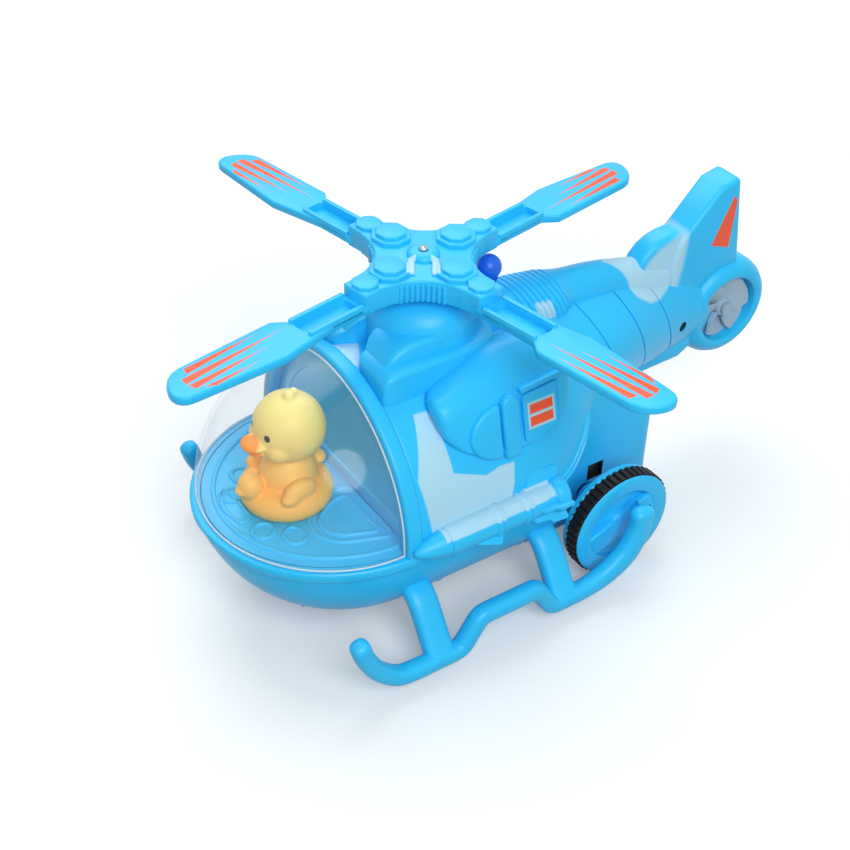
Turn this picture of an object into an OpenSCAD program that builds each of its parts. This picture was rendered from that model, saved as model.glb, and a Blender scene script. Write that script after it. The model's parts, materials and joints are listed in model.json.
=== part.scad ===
// Push-along toy helicopter with a friction motor that also turns the rotor.
// Nose towards +X, pilot's left towards +Y, wheels standing on Z = 0.
// Modules draw in the mast frame, where X = 0 is the rotor axis, and craft() shifts them to the part frame.

/* [Fuselage] */
// Half width of the fuselage at the waist
waist_w = 45; // [42:0.5:48]
// Height of the waist line, where hull and upper body meet
waist_z = 44; // [43:0.5:45]
// Height of the centre of the round upper body
arch_z = 46.5; // [46:0.25:47]
// Depth of the hull below the waist line
hull_depth = 36; // [34:0.5:37]
// Start of the rounded nose, ahead of the mast
nose_start = 30; // [28:0.5:31]
// Length of the rounded nose
nose_len = 49.3; // [48:0.5:54]
// Rear wall of the hull, behind the mast
hull_back = 27; // [26:0.5:28]
// Wall of the moulded shells
wall = 2; // [1.6:0.1:2.2]
// End of the round upper body, behind the mast
body_back = 60; // [58:0.5:62]

/* [Canopy and cockpit] */
// Step from the fuselage's skin in to the canopy's skin
canopy_in = 0.7; // [0.4:0.1:1.2]
// Wall of the canopy
canopy_wall = 1.6; // [1.2:0.1:2]
// Rear edge of the canopy, ahead of the mast
canopy_x = 34; // [33:0.5:35]
// Width of the arch frame behind the canopy
frame_w = 5.5; // [4:0.5:7]
// Height of the arch frame above the body skin
frame_proud = 1; // [0.6:0.1:1.4]
// Thickness of the cockpit deck
deck_t = 2; // [1.6:0.1:2.4]
// Radius of the pilot figure's head
pilot_head_r = 11.6; // [10:0.2:12]

/* [Rear housing] */
// Half width of the rear housing
housing_w = 28; // [27:0.5:29]
// Rear wall of the housing, behind the mast
housing_back = 82; // [80:0.5:84]
// Underside of the housing above the ground
housing_z = 7; // [6:0.5:7.5]
// Top edge of the housing under the upper body
housing_top = 67; // [66:0.5:68]
// Height of the housing's roof at its rear
roof_z = 50.5; // [49:0.5:52]

/* [Tail] */
// End of the tail boom, behind the mast
boom_back = 117; // [115:0.5:118]
// Centre of the fan duct, behind the mast
duct_x = 130.5; // [129:0.5:132]
// Height of the fan duct's centre
duct_z = 57.5; // [56:0.5:59]
// Bore radius of the fan duct
duct_bore_r = 12.75; // [12:0.25:13.5]
// Outer radius of the fan duct
duct_r = 19.5; // [18.5:0.5:20]
// Width of the fan duct
duct_w = 18; // [16:0.5:20]
// Thickness of the tail fin
fin_t = 12.5; // [10:0.5:14]
// Height of the fin's top edge
fin_top = 111.5; // [109:0.5:114]

/* [Wheels] */
// Radius of the rear tyre
tyre_r = 20.3; // [19.5:0.1:21]
// Rear axle, behind the mast
axle_x = 51.5; // [51:0.25:53]
// Radius of the steel shafts
shaft_r = 2; // [1.8:0.05:2.2]
// Outer face of the rear wheels from the centre line
wheel_face = 49.4; // [48.5:0.1:50]
// Width of the rear wheels
wheel_w = 8.6; // [8:0.2:10]
// Radius of the rim that carries the tyre
rim_r = 17; // [16:0.25:17.5]
// Number of grip ribs on a tyre
tyre_ribs = 48; // [36:1:60]
// Radius of the nose roller
roller_r = 6; // [5.5:0.1:6.2]
// Nose roller axle, ahead of the mast
roller_x = 46.5; // [45:0.5:48]
// Width of the nose roller
roller_w = 14; // [12:0.5:16]

/* [Landing skids] */
// Skid rail from the centre line
skid_y = 56.7; // [56:0.1:58]
// Radius of the skid rail
skid_r = 3.2; // [2.6:0.1:3.4]
// Height of the low stretches of the rail, at its centre
skid_z = 7.6; // [6:0.1:9]
// Height of the raised middle of the rail, at its centre
skid_step_z = 18.4; // [16:0.2:20]
// Width of a skid strut
strut_w = 8; // [6:0.5:9]

/* [Side stores] */
// Radius of a rocket body
rocket_r = 5; // [4.5:0.1:5.5]
// Nose of a rocket, ahead of the mast
rocket_x = 33; // [31:0.5:34]
// Length of a rocket
rocket_len = 57; // [54:0.5:60]

/* [Rotor] */
// Radius of the rotor at the blade tips
rotor_r = 97; // [94:0.5:98]
// Top face of the blades
blade_z = 114.7; // [114:0.1:116]
// Thickness of the blades
blade_t = 3; // [2.6:0.1:3.4]
// Width of a blade
blade_w = 17; // [15:0.2:18]
// Width of the slotted arm at the root of a blade
arm_w = 10.4; // [9:0.2:11]
// Radius where the blade arms leave the hub
hub_reach = 29; // [28:0.5:31]
// Radius of the hub drum
drum_r = 16; // [15:0.25:17]
// Height of the hub's raised bosses above the blades
boss_h = 7.8; // [6:0.2:8.5]
// Angle of the leading blade at rest
rest_angle = 11.2; // [0:0.2:20]

/* [Drive] */
// Tooth module of all gears
gear_m = 1; // [1:0.5:1]
// Teeth on the axle gear
axle_teeth = 20; // [20:1:20]
// Teeth on the lay gear's pinion
lay_teeth = 11; // [11:1:11]
// Teeth on the flywheel's pinion
pinion_teeth = 10; // [10:1:10]
// Teeth on the large wheels
wheel_teeth = 24; // [24:1:24]
// Teeth on the mast pinion
mast_teeth = 12; // [12:1:12]
// Teeth on the crown gear
crown_teeth = 24; // [24:1:24]
// Face width of the gears
gear_w = 5; // [4:0.5:5.5]
// Radius of the flywheel
flywheel_r = 13; // [11:0.5:13.5]
// Radial running clearance of shafts
run_gap = 0.05; // [0.03:0.01:0.08]
// Thickness of the motor plates
plate_t = 2; // [1.6:0.1:2.4]

/* [Hidden] */
$fn = 64;
blue = [0.17, 0.68, 0.96];
deep_blue = [0.05, 0.45, 0.8];
grey = [0.62, 0.67, 0.74];
steel = [0.75, 0.76, 0.78];
black = [0.06, 0.06, 0.07];
yellow = [1, 0.78, 0.36];
white_nylon = [0.93, 0.93, 0.9];

// Flat seat gap between pieces of one body
seat = 0.02;
// Room between pieces that move past each other
move_gap = 0.4;
// Outer radius of the clear canopy
canopy_r = waist_w - canopy_in;
// Outer radius of the arch frame behind the canopy
frame_r = waist_w + frame_proud;

// Blade outline, tip towards +X: root, step on one side, cut tip corner, rounded and tapered other side
tip_cut = 9;
tip_round = 3;
tip_side = 4.8;
trail_side = -8.8;
step_at = hub_reach + 21;
step_len = 4.5;
flare_at = hub_reach + 13;
flare_len = 20;
blade_outline = concat(
    [[hub_reach, -arm_w / 2], [step_at, -arm_w / 2], [step_at + step_len, trail_side],
     [rotor_r - tip_cut, trail_side], [rotor_r, 0]],
    [for (a = [0:15:75])
        [rotor_r - tip_round + tip_round * cos(a), tip_side - tip_round + tip_round * sin(a)]],
    [[flare_at + flare_len, blade_w + trail_side], [flare_at, arm_w / 2], [hub_reach, arm_w / 2]]);
rotor_reach = max([for (p = blade_outline) p[0] * cos(rest_angle) - p[1] * sin(rest_angle)]);
// The mast stands where nose and tail reach equally far from the origin
mast_x = (duct_x + duct_r - rotor_reach) / 2;

// Shaft places in the gear train, seen from the left: [x, z] in the mast frame
axle_at = [-axle_x, tyre_r];
lay_at = axle_at + gear_m * (axle_teeth + lay_teeth) / 2 * [cos(49), sin(49)];
flywheel_at = lay_at + gear_m * (wheel_teeth + pinion_teeth) / 2 * [cos(95), sin(95)];
idler_at = lay_at + gear_m * wheel_teeth * [cos(8.5), sin(8.5)];
mast_gap = gear_m * (wheel_teeth + mast_teeth) / 2;
pinion_at = [0, idler_at[1] + sqrt(mast_gap * mast_gap - idler_at[0] * idler_at[0])];
// The crown stands a little above full mesh, for play
crown_r = gear_m * crown_teeth / 2;
crown_play = 0.3;
crown_z = pinion_at[1] + gear_m * mast_teeth / 2 + crown_play;
crown_half = 1.1;
plate_y = 17;
// The spur train runs between the crown's edge and the left motor plate
train_in = crown_r + crown_half + 0.3;
train_out = plate_y - move_gap;
flywheel_w = 7;
flywheel_y = -12;
mast_top = blade_z + boss_h - 4;

// Mast bush and pylon heights
hub_floor = blade_z - blade_t - 1.2;
pylon_top = hub_floor - 1;
bush_r = 4;
bush_len = 12;

// Screw posts between hull and upper body
post_places = [[14, 31], [-19, 31], [14, -31], [-19, -31]];
post_r = 3.6;
post_z = 30;
screw_r = 1.3;
screw_head_r = 2.6;
screw_len = 14;

// Shift from the mast frame to the part frame
module craft() {
    translate([mast_x, 0, 0])
        children();
}

// A copy on the pilot's left or right side: side is 1 or -1
module on_side(side) {
    if (side > 0)
        children();
    else
        mirror([0, 1, 0])
            children();
}

// Solid skinned through closed rings with equal point counts, front ring first, with flat ends
module loft(rings) {
    n = len(rings[0]);
    m = len(rings);
    points = [for (ring = rings) each ring];
    sides = [for (i = [0:m - 2], j = [0:n - 1], half = [0, 1])
        half == 0 ? [i * n + j, (i + 1) * n + (j + 1) % n, i * n + (j + 1) % n]
                  : [i * n + j, (i + 1) * n + j, (i + 1) * n + (j + 1) % n]];
    first = [for (j = [0:n - 1]) j];
    last = [for (j = [n - 1:-1:0]) (m - 1) * n + j];
    polyhedron(points, concat([first], sides, [last]));
}

// A cylinder along Y, centred on y
module shaft_y(at, r, y0, y1) {
    translate([at[0], y1, at[1]])
        rotate([90, 0, 0])
            cylinder(r = r, h = y1 - y0);
}

// Hull ring at x: flat top at the waist, full bilge below. grow is negative for the inside
hull_round = 2.5;
function hull_scale(x, grow) =
    x <= nose_start ? 1 : sqrt(max(0, 1 - pow((x - nose_start) / (nose_len + grow), 2)));
function hull_ring(x, grow, top) = [for (i = [0:20])
    let (t = 180 * i / 20, s = max(hull_scale(x, grow), 0.03))
    [x, s * (waist_w + grow) * sign(cos(t)) * pow(abs(cos(t)), 2 / hull_round),
     top - s * (hull_depth + grow + (top - waist_z)) * pow(sin(t), 2 / hull_round)]];
function hull_stations(grow, back) = concat([for (a = [88, 80, 70, 58, 45, 30, 15])
    nose_start + (nose_len + grow) * sin(a)], [nose_start, 2, -back]);

module hull_solid(grow, back, top) {
    loft([for (x = hull_stations(grow, back)) hull_ring(x, grow, top)]);
}

// Upper body ring at x: a round arch on the waist
function arch_ring(x, w, h, foot) = concat(
    [for (i = [0:24]) let (t = 180 * i / 24) [x, -w * cos(t), arch_z + h * sin(t)]],
    [[x, w, foot], [x, -w, foot]]);
body_front = canopy_x - frame_w;
body_shape = [[body_front, waist_w, waist_w], [0, waist_w, waist_w], [-14, waist_w, waist_w],
    [-26, waist_w - 1.4, waist_w - 0.4], [-36, waist_w - 4.4, waist_w - 1.4],
    [-48, waist_w - 9.6, waist_w - 3.4], [-body_back, waist_w - 16.4, waist_w - 5.6]];

// Everything below the rising rear edge of the upper body
rear_edge = [[-23, waist_z], [-33, 46], [-40.5, 54], [-48, 61.5], [-body_back - 4, 67.5]];
module below_rear_edge(lift) {
    translate([0, 60, lift])
        rotate([90, 0, 0])
            linear_extrude(120)
                polygon(concat([[-10, waist_z - 30], [-10, waist_z - 8], [-23, waist_z - 8]], rear_edge,
                    [[-body_back - 4, waist_z - 30]]));
}

module upper_solid(grow, reach) {
    difference() {
        loft([for (s = body_shape) arch_ring(s[0] + (s[0] == body_front ? reach : 0)
            - (s[0] == -body_back ? reach : 0), s[1] + grow, s[2] + grow, waist_z - reach)]);
        below_rear_edge(-grow);
    }
}

// Tail boom rings: [x, half width, half height, centre height]
boom_shape = [[-body_back, 26, 20.5, 65.5], [-76, 20.5, 19.4, 65.4], [-91, 15.6, 17.8, 63],
    [-105, 11.4, 16, 61.4], [-boom_back, 9, 13.8, 60]];
module boom_solid(grow, reach) {
    loft([for (s = boom_shape) [for (i = [0:23]) let (t = 360 * i / 24)
        [s[0] + (s[0] == -body_back ? reach : 0), (s[1] + grow) * cos(t), s[3] - (s[2] + grow) * sin(t)]]]);
}

// Lower half of the nose and belly, open at the top and towards the rear housing
module lower_hull() {
    color(blue)
        craft() {
            difference() {
                hull_solid(0, hull_back, waist_z);
                difference() {
                    hull_solid(-wall, hull_back - wall, waist_z + 1);
                    for (p = post_places)
                        translate([p[0], p[1], 0])
                            cylinder(r = post_r, h = post_z);
                }
                translate([-hull_back - 1, -housing_w + wall, housing_z + wall])
                    cube([wall + 2, 2 * (housing_w - wall), waist_z]);
                for (p = post_places)
                    translate([p[0], p[1], 0]) {
                        cylinder(r = screw_r, h = post_z + 1);
                        cylinder(r = screw_head_r, h = post_z - screw_len / 2);
                    }
                translate([roller_x - roller_r - 1.5, -roller_w / 2 - 4, 0])
                    cube([2 * roller_r + 3, roller_w + 8, 2 * roller_r + move_gap + 3]);
            }
        }
}

// Round upper shell from the canopy arch to the root of the boom, with four screw posts
motor_bay_w = 22;
motor_bay_z = 66;
module upper_body() {
    color(blue)
        craft()
            difference() {
                union() {
                    difference() {
                        upper_solid(0, 0);
                        upper_solid(-wall, 1);
                    }
                    intersection() {
                        for (p = post_places)
                            translate([p[0], p[1], post_z + seat])
                                cylinder(r = post_r, h = 70);
                        upper_solid(-wall / 2, 30);
                    }
                }
                for (p = post_places)
                    translate([p[0], p[1], post_z - 1])
                        cylinder(r = screw_r, h = screw_len / 2 + 2);
                translate([-body_back - 1, -motor_bay_w, 0])
                    cube([body_back + 1, 2 * motor_bay_w, motor_bay_z]);
                cylinder(r = bush_r + 3, h = 120);
            }
}

// Narrow shell behind the hull that holds the friction motor and carries the rear axle
module rear_housing() {
    corner_r = 6;
    length = housing_back - hull_back - seat;
    module plan(grow) {
        translate([-housing_back - grow, 0]) {
            translate([corner_r, -housing_w - grow])
                square([length + grow - corner_r, 2 * (housing_w + grow)]);
            translate([0, -housing_w - grow + corner_r])
                square([length, 2 * (housing_w + grow - corner_r)]);
            for (s = [-1, 1])
                translate([corner_r, s * (housing_w + grow - corner_r)])
                    circle(r = corner_r);
        }
    }
    module above_roof(drop) {
        translate([0, housing_w + 1, -drop])
            rotate([90, 0, 0])
                linear_extrude(2 * housing_w + 2)
                    polygon([[-hull_back + 9, housing_top], [-46, housing_top], [-57, roof_z + 11],
                        [-housing_back - 1, roof_z], [-housing_back - 1, housing_top + 20],
                        [-hull_back + 9, housing_top + 20]]);
    }
    color(blue)
        craft()
            difference() {
                translate([0, 0, housing_z])
                    linear_extrude(housing_top - housing_z)
                        plan(0);
                difference() {
                    translate([0, 0, housing_z + wall])
                        linear_extrude(housing_top)
                            union() {
                                plan(-wall);
                                translate([-hull_back - wall - 8, -housing_w + wall])
                                    square([wall + 12, 2 * (housing_w - wall)]);
                            }
                    above_roof(wall);
                }
                above_roof(0);
                shaft_y(axle_at, shaft_r + 0.6, -housing_w - 1, housing_w + 1);
                boom_solid(seat, 0);
                upper_solid(seat, 0);
                for (s = [-1, 1])
                    translate([-axle_x - 7.3, s * housing_w - 4, 24.6])
                        cube([6.6, 8, 6.4]);
            }
}

// Tapering tail boom, hollow from its root
module tail_boom() {
    color(blue)
        craft()
            difference() {
                boom_solid(0, 0);
                boom_solid(-wall, 1);
                translate([-duct_x, duct_w, duct_z])
                    rotate([90, 0, 0])
                        cylinder(r = duct_r + seat, h = 2 * duct_w);
            }
}

// Ribbed fairing along the top of body and boom
spine_shape = [[-18, 11.5, 95.5], [-30, 12.5, 96.5], [-57, 11, 93], [-59, 9.5, 91.5], [-80, 7, 87.5],
    [-96, 5, 83]];
function spine_ring(s) = concat([for (i = [0:12]) let (t = 180 * i / 12)
    [s[0], -s[1] * sign(cos(t)) * pow(abs(cos(t)), 0.7), s[2] - 8 + 8 * pow(sin(t), 0.7)]],
    [[s[0], s[1], waist_z + 16], [s[0], -s[1], waist_z + 16]]);
module spine_solid() {
    loft([for (s = spine_shape) spine_ring(s)]);
}

rib_count = 7;
rib_pitch = 4;
rib_deep = 1.8;
rib_fall = 0.13;
module spine_fairing() {
    color(blue)
        craft()
            difference() {
                spine_solid();
                for (i = [0:rib_count - 1])
                    translate([-31.5 - i * rib_pitch, -20, 96.3 - rib_deep - i * rib_pitch * rib_fall])
                        cube([1.6, 40, 20]);
                loft([for (s = body_shape)
                    arch_ring(s[0] - (s[0] == -body_back ? 1 : 0), s[1] + seat, s[2] + seat, 50)]);
                boom_solid(seat, 0.5);
                pylon_solid(seat);
            }
}

// Domed pylon under the rotor, seated on the round of the body, with a stepped collar
pylon_rings = [[68, 28, 30, 23], [90, 28, 30, 23], [92.5, 27.2, 29, 21.8], [92.6, 26, 28, 20.4],
    [100, 25.4, 26, 19.4], [104, 23.6, 23, 17.6], [pylon_top - 1.5, 19, 18, 14.5], [pylon_top, 13, 13, 11]];
function pylon_ring(s, grow) = [for (i = [0:31]) let (t = 360 * i / 32)
    [(grow + (cos(t) > 0 ? s[1] : s[2])) * sign(cos(t)) * pow(abs(cos(t)), 0.8),
     (s[3] + grow) * sign(sin(t)) * pow(abs(sin(t)), 0.8), s[0]]];
module pylon_solid(grow) {
    loft([for (s = pylon_rings) pylon_ring(s, grow)]);
}

module mast_pylon() {
    color(blue)
        craft()
            difference() {
                pylon_solid(0);
                loft([for (s = body_shape) arch_ring(s[0], s[1] + seat, s[2] + seat, 50)]);
                translate([0, 0, pylon_top - bush_len])
                    cylinder(r = bush_r, h = bush_len + 1);
                cylinder(r = bush_r - 1, h = 120);
            }
}

// Raised arch that the canopy snaps into
module canopy_frame() {
    color(blue)
        craft()
            intersection() {
                translate([body_front, 0, arch_z])
                    rotate([0, 90, 0])
                        difference() {
                            cylinder(r = frame_r, h = frame_w - seat);
                            translate([0, 0, -1])
                                cylinder(r = canopy_r - canopy_wall - 2, h = frame_w + 2);
                        }
                translate([0, -80, waist_z + seat])
                    cube([60, 160, 90]);
            }
}

// Clear dome over the cockpit
module canopy() {
    color([0.85, 0.95, 1, 0.35])
        craft()
            intersection() {
                translate([canopy_x, 0, arch_z])
                    difference() {
                        sphere(r = canopy_r);
                        sphere(r = canopy_r - canopy_wall);
                    }
                translate([canopy_x, -80, waist_z + seat])
                    cube([80, 160, 90]);
            }
}

// Plan of the nose, inside the hull wall, from the canopy's rear edge forwards
module nose_plan(inset) {
    intersection() {
        polygon([for (i = [0:36]) let (t = -90 + 5 * i)
            [nose_start + (nose_len - inset) * cos(t), (waist_w - inset) * sin(t)]]);
        translate([body_front, -80])
            square([80, 160]);
    }
}

// Cockpit floor with raised outlines of panels and dials
module cockpit_deck() {
    trim = 0.8;
    color(blue)
        craft()
            translate([0, 0, waist_z - deck_t]) {
                linear_extrude(deck_t)
                    nose_plan(wall + 1.4);
                translate([0, 0, deck_t])
                    linear_extrude(trim)
                        difference() {
                            nose_plan(wall + 6);
                            nose_plan(wall + 7.5);
                        }
            }
}

// Wall that closes the cockpit off from the motor bay
module cockpit_wall() {
    color(deep_blue)
        craft()
            intersection() {
                translate([body_front, 0, arch_z])
                    rotate([0, 90, 0])
                        cylinder(r = canopy_r - canopy_wall - 2 - seat, h = wall);
                translate([0, -80, waist_z + seat])
                    cube([60, 160, 90]);
            }
}

// Duckling pilot in a swim ring, one moulding
pilot_x = 51;
ring_r = 10.5;
ring_tube = 4.6;
module pilot_figure() {
    base = waist_z + seat;
    color(yellow)
        craft()
            intersection() {
                translate([pilot_x, 0, base]) {
                    translate([0, 0, ring_tube])
                        rotate_extrude()
                            translate([ring_r, 0])
                                circle(r = ring_tube);
                    translate([-1, 0, 8])
                        sphere(r = 9.5);
                    translate([-2, 0, 27])
                        sphere(r = pilot_head_r);
                    translate([ring_r + 3, 0, 11])
                        sphere(r = 4.4);
                    translate([9, 0, 24.5])
                        sphere(r = 3.4);
                }
                translate([0, -80, base])
                    cube([100, 160, 60]);
            }
}

// Ball on the spine just behind the mast
beacon_x = -25.5;
beacon_r = 4.2;
module beacon_dome() {
    beacon_z = 106;
    color(deep_blue)
        craft()
            difference() {
                union() {
                    translate([beacon_x, 0, beacon_z])
                        sphere(r = beacon_r);
                    translate([beacon_x, 0, 90])
                        cylinder(r = 2.6, h = beacon_z - 90);
                }
                translate([0, 0, seat])
                    spine_solid();
                pylon_solid(seat);
            }
}

// Engine pod on the shoulder of the body
module engine_pod(side) {
    pod_shape = [[17.5, 4], [15, 8.5], [9, 11.8], [0, 13], [-14, 13], [-28, 11.6], [-35, 8.8], [-36.5, 6]];
    color(blue)
        craft()
            on_side(side)
                difference() {
                    translate([0, 27.6, 80.6])
                        rotate([-37, 0, 0])
                            loft([for (s = pod_shape) [for (i = [0:19]) let (t = 360 * i / 20)
                                [s[0], s[1] * 1.15 * sign(cos(t)) * pow(abs(cos(t)), 0.75),
                                 -s[1] * 0.72 * sign(sin(t)) * pow(abs(sin(t)), 0.75)]]]);
                    loft([for (s = body_shape) arch_ring(s[0], s[1] + seat, s[2] + seat, 40)]);
                    pylon_solid(seat);
                }
}

module engine_pod_left() { engine_pod(1); }
module engine_pod_right() { engine_pod(-1); }

// Rocket on the waist, flat where it seats on the body
module rocket(side) {
    rocket_z = arch_z;
    band_r = rocket_r + 0.6;
    nose = 16;
    color(blue)
        craft()
            on_side(side)
                difference() {
                    translate([rocket_x - rocket_len, waist_w + 2, rocket_z])
                        rotate([0, 90, 0])
                            rotate_extrude()
                                polygon(concat([[0, 0], [rocket_r - 1.4, 0], [rocket_r, 2],
                                    [rocket_r, 14], [band_r, 14.5], [band_r, 17], [rocket_r, 17.5],
                                    [rocket_r, 25], [band_r, 25.5], [band_r, 28], [rocket_r, 28.5]],
                                    [for (a = [0:15:90])
                                        [rocket_r * cos(a), rocket_len - nose + nose * sin(a)]]));
                    translate([-80, 0, 0])
                        cube([160, waist_w + seat, 100]);
                    translate([body_front - seat, 0, arch_z])
                        rotate([0, 90, 0])
                            cylinder(r = frame_r + seat, h = frame_w + 2 * seat);
                }
}

module rocket_left() { rocket(1); }
module rocket_right() { rocket(-1); }

// Skid rail route, seen from the left: [x, z] of the rail's centre line
skid_route = [[58.5, skid_z + 21], [56.5, skid_z + 15], [52, skid_z + 7.5], [45, skid_z + 1.4], [38, skid_z],
    [22, skid_z], [18.5, skid_z + 2], [13.5, skid_step_z - 1], [9, skid_step_z], [-6, skid_step_z],
    [-10.5, skid_step_z - 2.5], [-15, skid_z + 1.5], [-20, skid_z], [-31, skid_z + 0.3], [-40, skid_z + 2.8],
    [-47.5, skid_z + 8], [-51.5, skid_z + 16], [-52.5, skid_z + 23]];
module skid(side) {
    n = len(skid_route);
    function dir(i) = let (a = skid_route[max(i - 1, 0)], b = skid_route[min(i + 1, n - 1)])
        (b - a) / norm(b - a);
    function ring(i, r, along) = let (p = skid_route[i] + along * dir(i), d = dir(i))
        [for (k = [0:11]) let (t = 30 * k)
            [p[0] - r * sin(t) * d[1], skid_y + r * cos(t), p[1] + r * sin(t) * d[0]]];
    color(blue)
        craft()
            on_side(side)
                difference() {
                    union() {
                        loft(concat([ring(0, skid_r * 0.6, -skid_r * 0.8)],
                            [for (i = [0:n - 1]) ring(i, skid_r, 0)],
                            [ring(n - 1, skid_r * 0.6, skid_r * 0.8)]));
                        strut_solid(28.5);
                        strut_solid(-21);
                    }
                    hull_solid(seat, hull_back, waist_z);
                }
}

// Strut from the hull side down to the rail
module strut_solid(x) {
    top_y = waist_w - 7;
    top_z = 28;
    h = 4.6;
    translate([x - strut_w / 2, 0, 0])
        rotate([90, 0, 90])
            linear_extrude(strut_w)
                polygon([[top_y - 6, top_z], [top_y + 3, top_z], [skid_y + 1.5, skid_z + 1.5],
                    [skid_y - 1.5, skid_z - 1.5], [skid_y - 3, skid_z + 0.5], [top_y, top_z - h],
                    [top_y - 6, top_z - h]]);
}

module skid_left() { skid(1); }
module skid_right() { skid(-1); }

// Swept tail fin between boom and fan duct
module tail_fin() {
    root_t = 0.75 * fin_t;
    color(blue)
        craft()
            difference() {
                union() {
                    translate([0, fin_t / 2, 0])
                        rotate([90, 0, 0])
                            linear_extrude(fin_t)
                                polygon([[-106, 74], [-107, 90], [-107.5, 95.6], [-120.5, fin_top - 2],
                                    [-129, fin_top], [-133, 84], [-134.5, 74], [-126, 66], [-108, 66]]);
                    translate([0, root_t / 2, 0])
                        rotate([90, 0, 0])
                            linear_extrude(root_t)
                                polygon([[-89, 74], [-91.5, 84], [-93.6, 88.4], [-96.5, 92.4], [-100, 95],
                                    [-107.5, 95.6], [-110, 90], [-110, 74]]);
                }
                boom_solid(seat, 0);
                translate([-duct_x, duct_w, duct_z])
                    rotate([90, 0, 0])
                        cylinder(r = duct_r + seat, h = 2 * duct_w);
                spine_solid();
            }
}

// Ring around the tail fan, with a spider that carries the fan's pin
fan_pin_r = 1.5;
spider_y = -5;
spider_w = 3;
module fan_duct() {
    rim = 3;
    color(blue)
        craft()
            translate([-duct_x, 0, duct_z])
                rotate([90, 0, 0]) {
                    rotate_extrude()
                        polygon([[duct_bore_r, -duct_w / 2], [duct_r - rim, -duct_w / 2],
                            [duct_r, -duct_w / 2 + 5], [duct_r, duct_w / 2 - 5], [duct_r - rim, duct_w / 2],
                            [duct_bore_r, duct_w / 2]]);
                    difference() {
                        union() {
                            translate([0, 0, -spider_y - spider_w])
                                cylinder(r = 3.5, h = spider_w);
                            for (a = [0, 120, 240])
                                rotate(a)
                                    translate([0, -1.5, -spider_y - spider_w])
                                        cube([duct_bore_r + 1, 3, spider_w]);
                        }
                        translate([0, 0, -spider_y - spider_w - 1])
                            cylinder(r = fan_pin_r, h = spider_w + 2);
                    }
                }
}

// Steel pin the fan turns on, with a head that keeps the fan on it
fan_y = 3;
fan_w = 4;
module fan_pin() {
    color(steel)
        craft() {
            shaft_y([-duct_x, duct_z], fan_pin_r, spider_y, fan_y + fan_w + move_gap);
            shaft_y([-duct_x, duct_z], fan_pin_r + 1, fan_y + fan_w + move_gap, fan_y + fan_w + move_gap + 1);
        }
}

// Free-turning tail fan
fan_blades = 6;
module tail_fan() {
    color(grey)
        craft()
            translate([-duct_x, fan_y + fan_w, duct_z])
                rotate([90, 0, 0])
                    difference() {
                        union() {
                            cylinder(r = 3.6, h = fan_w);
                            for (i = [0:fan_blades - 1])
                                rotate(i * 360 / fan_blades)
                                    translate([0, -3.2, 0.5])
                                        rotate([24, 0, 0])
                                            cube([duct_bore_r - 1.2, 6.6, 1]);
                        }
                        translate([0, 0, -1])
                            cylinder(r = fan_pin_r + run_gap, h = fan_w + 2);
                    }
}

// Cheeks under the belly that hold the nose roller's axle
roller_pin_r = 1.5;
module nose_bracket() {
    cheek_t = 2;
    inner = roller_w / 2 + move_gap;
    color(deep_blue)
        craft()
            difference() {
                translate([roller_x - roller_r - 1.5 + seat, -inner - cheek_t, 0]) {
                    translate([0, 0, roller_r + move_gap + roller_r])
                        cube([2 * roller_r + 3 - 2 * seat, 2 * (inner + cheek_t), 2]);
                    for (y = [0, 2 * inner + cheek_t])
                        translate([2, y, 3])
                            cube([2 * roller_r - 1, cheek_t, 2 * roller_r]);
                }
                shaft_y([roller_x, roller_r], roller_pin_r, -inner - cheek_t - 1, inner + cheek_t + 1);
            }
}

// Steel pin of the nose roller
module nose_axle() {
    reach = roller_w / 2 + move_gap + 2;
    color(steel)
        craft()
            shaft_y([roller_x, roller_r], roller_pin_r, -reach, reach);
}

// Small roller under the nose
module nose_roller() {
    color(deep_blue)
        craft()
            translate([roller_x, roller_w / 2, roller_r])
                rotate([90, 0, 0])
                    rotate_extrude()
                        polygon([[roller_pin_r + run_gap, 0], [roller_r - 1, 0], [roller_r, 1],
                            [roller_r, roller_w - 1], [roller_r - 1, roller_w],
                            [roller_pin_r + run_gap, roller_w]]);
}

// Gear outline with straight flanks and generous backlash
function gear_outline(teeth) = let (p = gear_m * teeth / 2, a = 360 / teeth)
    [for (i = [0:teeth - 1], k = [0:3])
    let (r = (k == 0 || k == 3) ? p - 1.2 * gear_m : p + 0.85 * gear_m,
         w = (k == 0 || k == 3) ? 0.29 : 0.115)
    r * [cos(a * (i + (k < 2 ? -w : w))), sin(a * (i + (k < 2 ? -w : w)))]];

// Spur gear on a shaft along Y, turned so that its first tooth points at an angle seen from the left
module spur(at, teeth, y0, y1, turn) {
    translate([at[0], y1, at[1]])
        rotate([90, 0, 0])
            linear_extrude(y1 - y0)
                rotate(turn)
                    polygon(gear_outline(teeth));
}

// Angle from one shaft to another
function heading(a, b) = atan2(b[1] - a[1], b[0] - a[0]);
// Turn of a driven gear whose space faces the driver's tooth: mesh angle plus half a tooth
function space_to(a, b, teeth) = heading(b, a) + 180 / teeth;

lay_turn_pinion = space_to(axle_at, lay_at, lay_teeth);
axle_turn = heading(axle_at, lay_at);
lay_turn_wheel = heading(lay_at, idler_at);
idler_turn = space_to(lay_at, idler_at, wheel_teeth);
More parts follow.
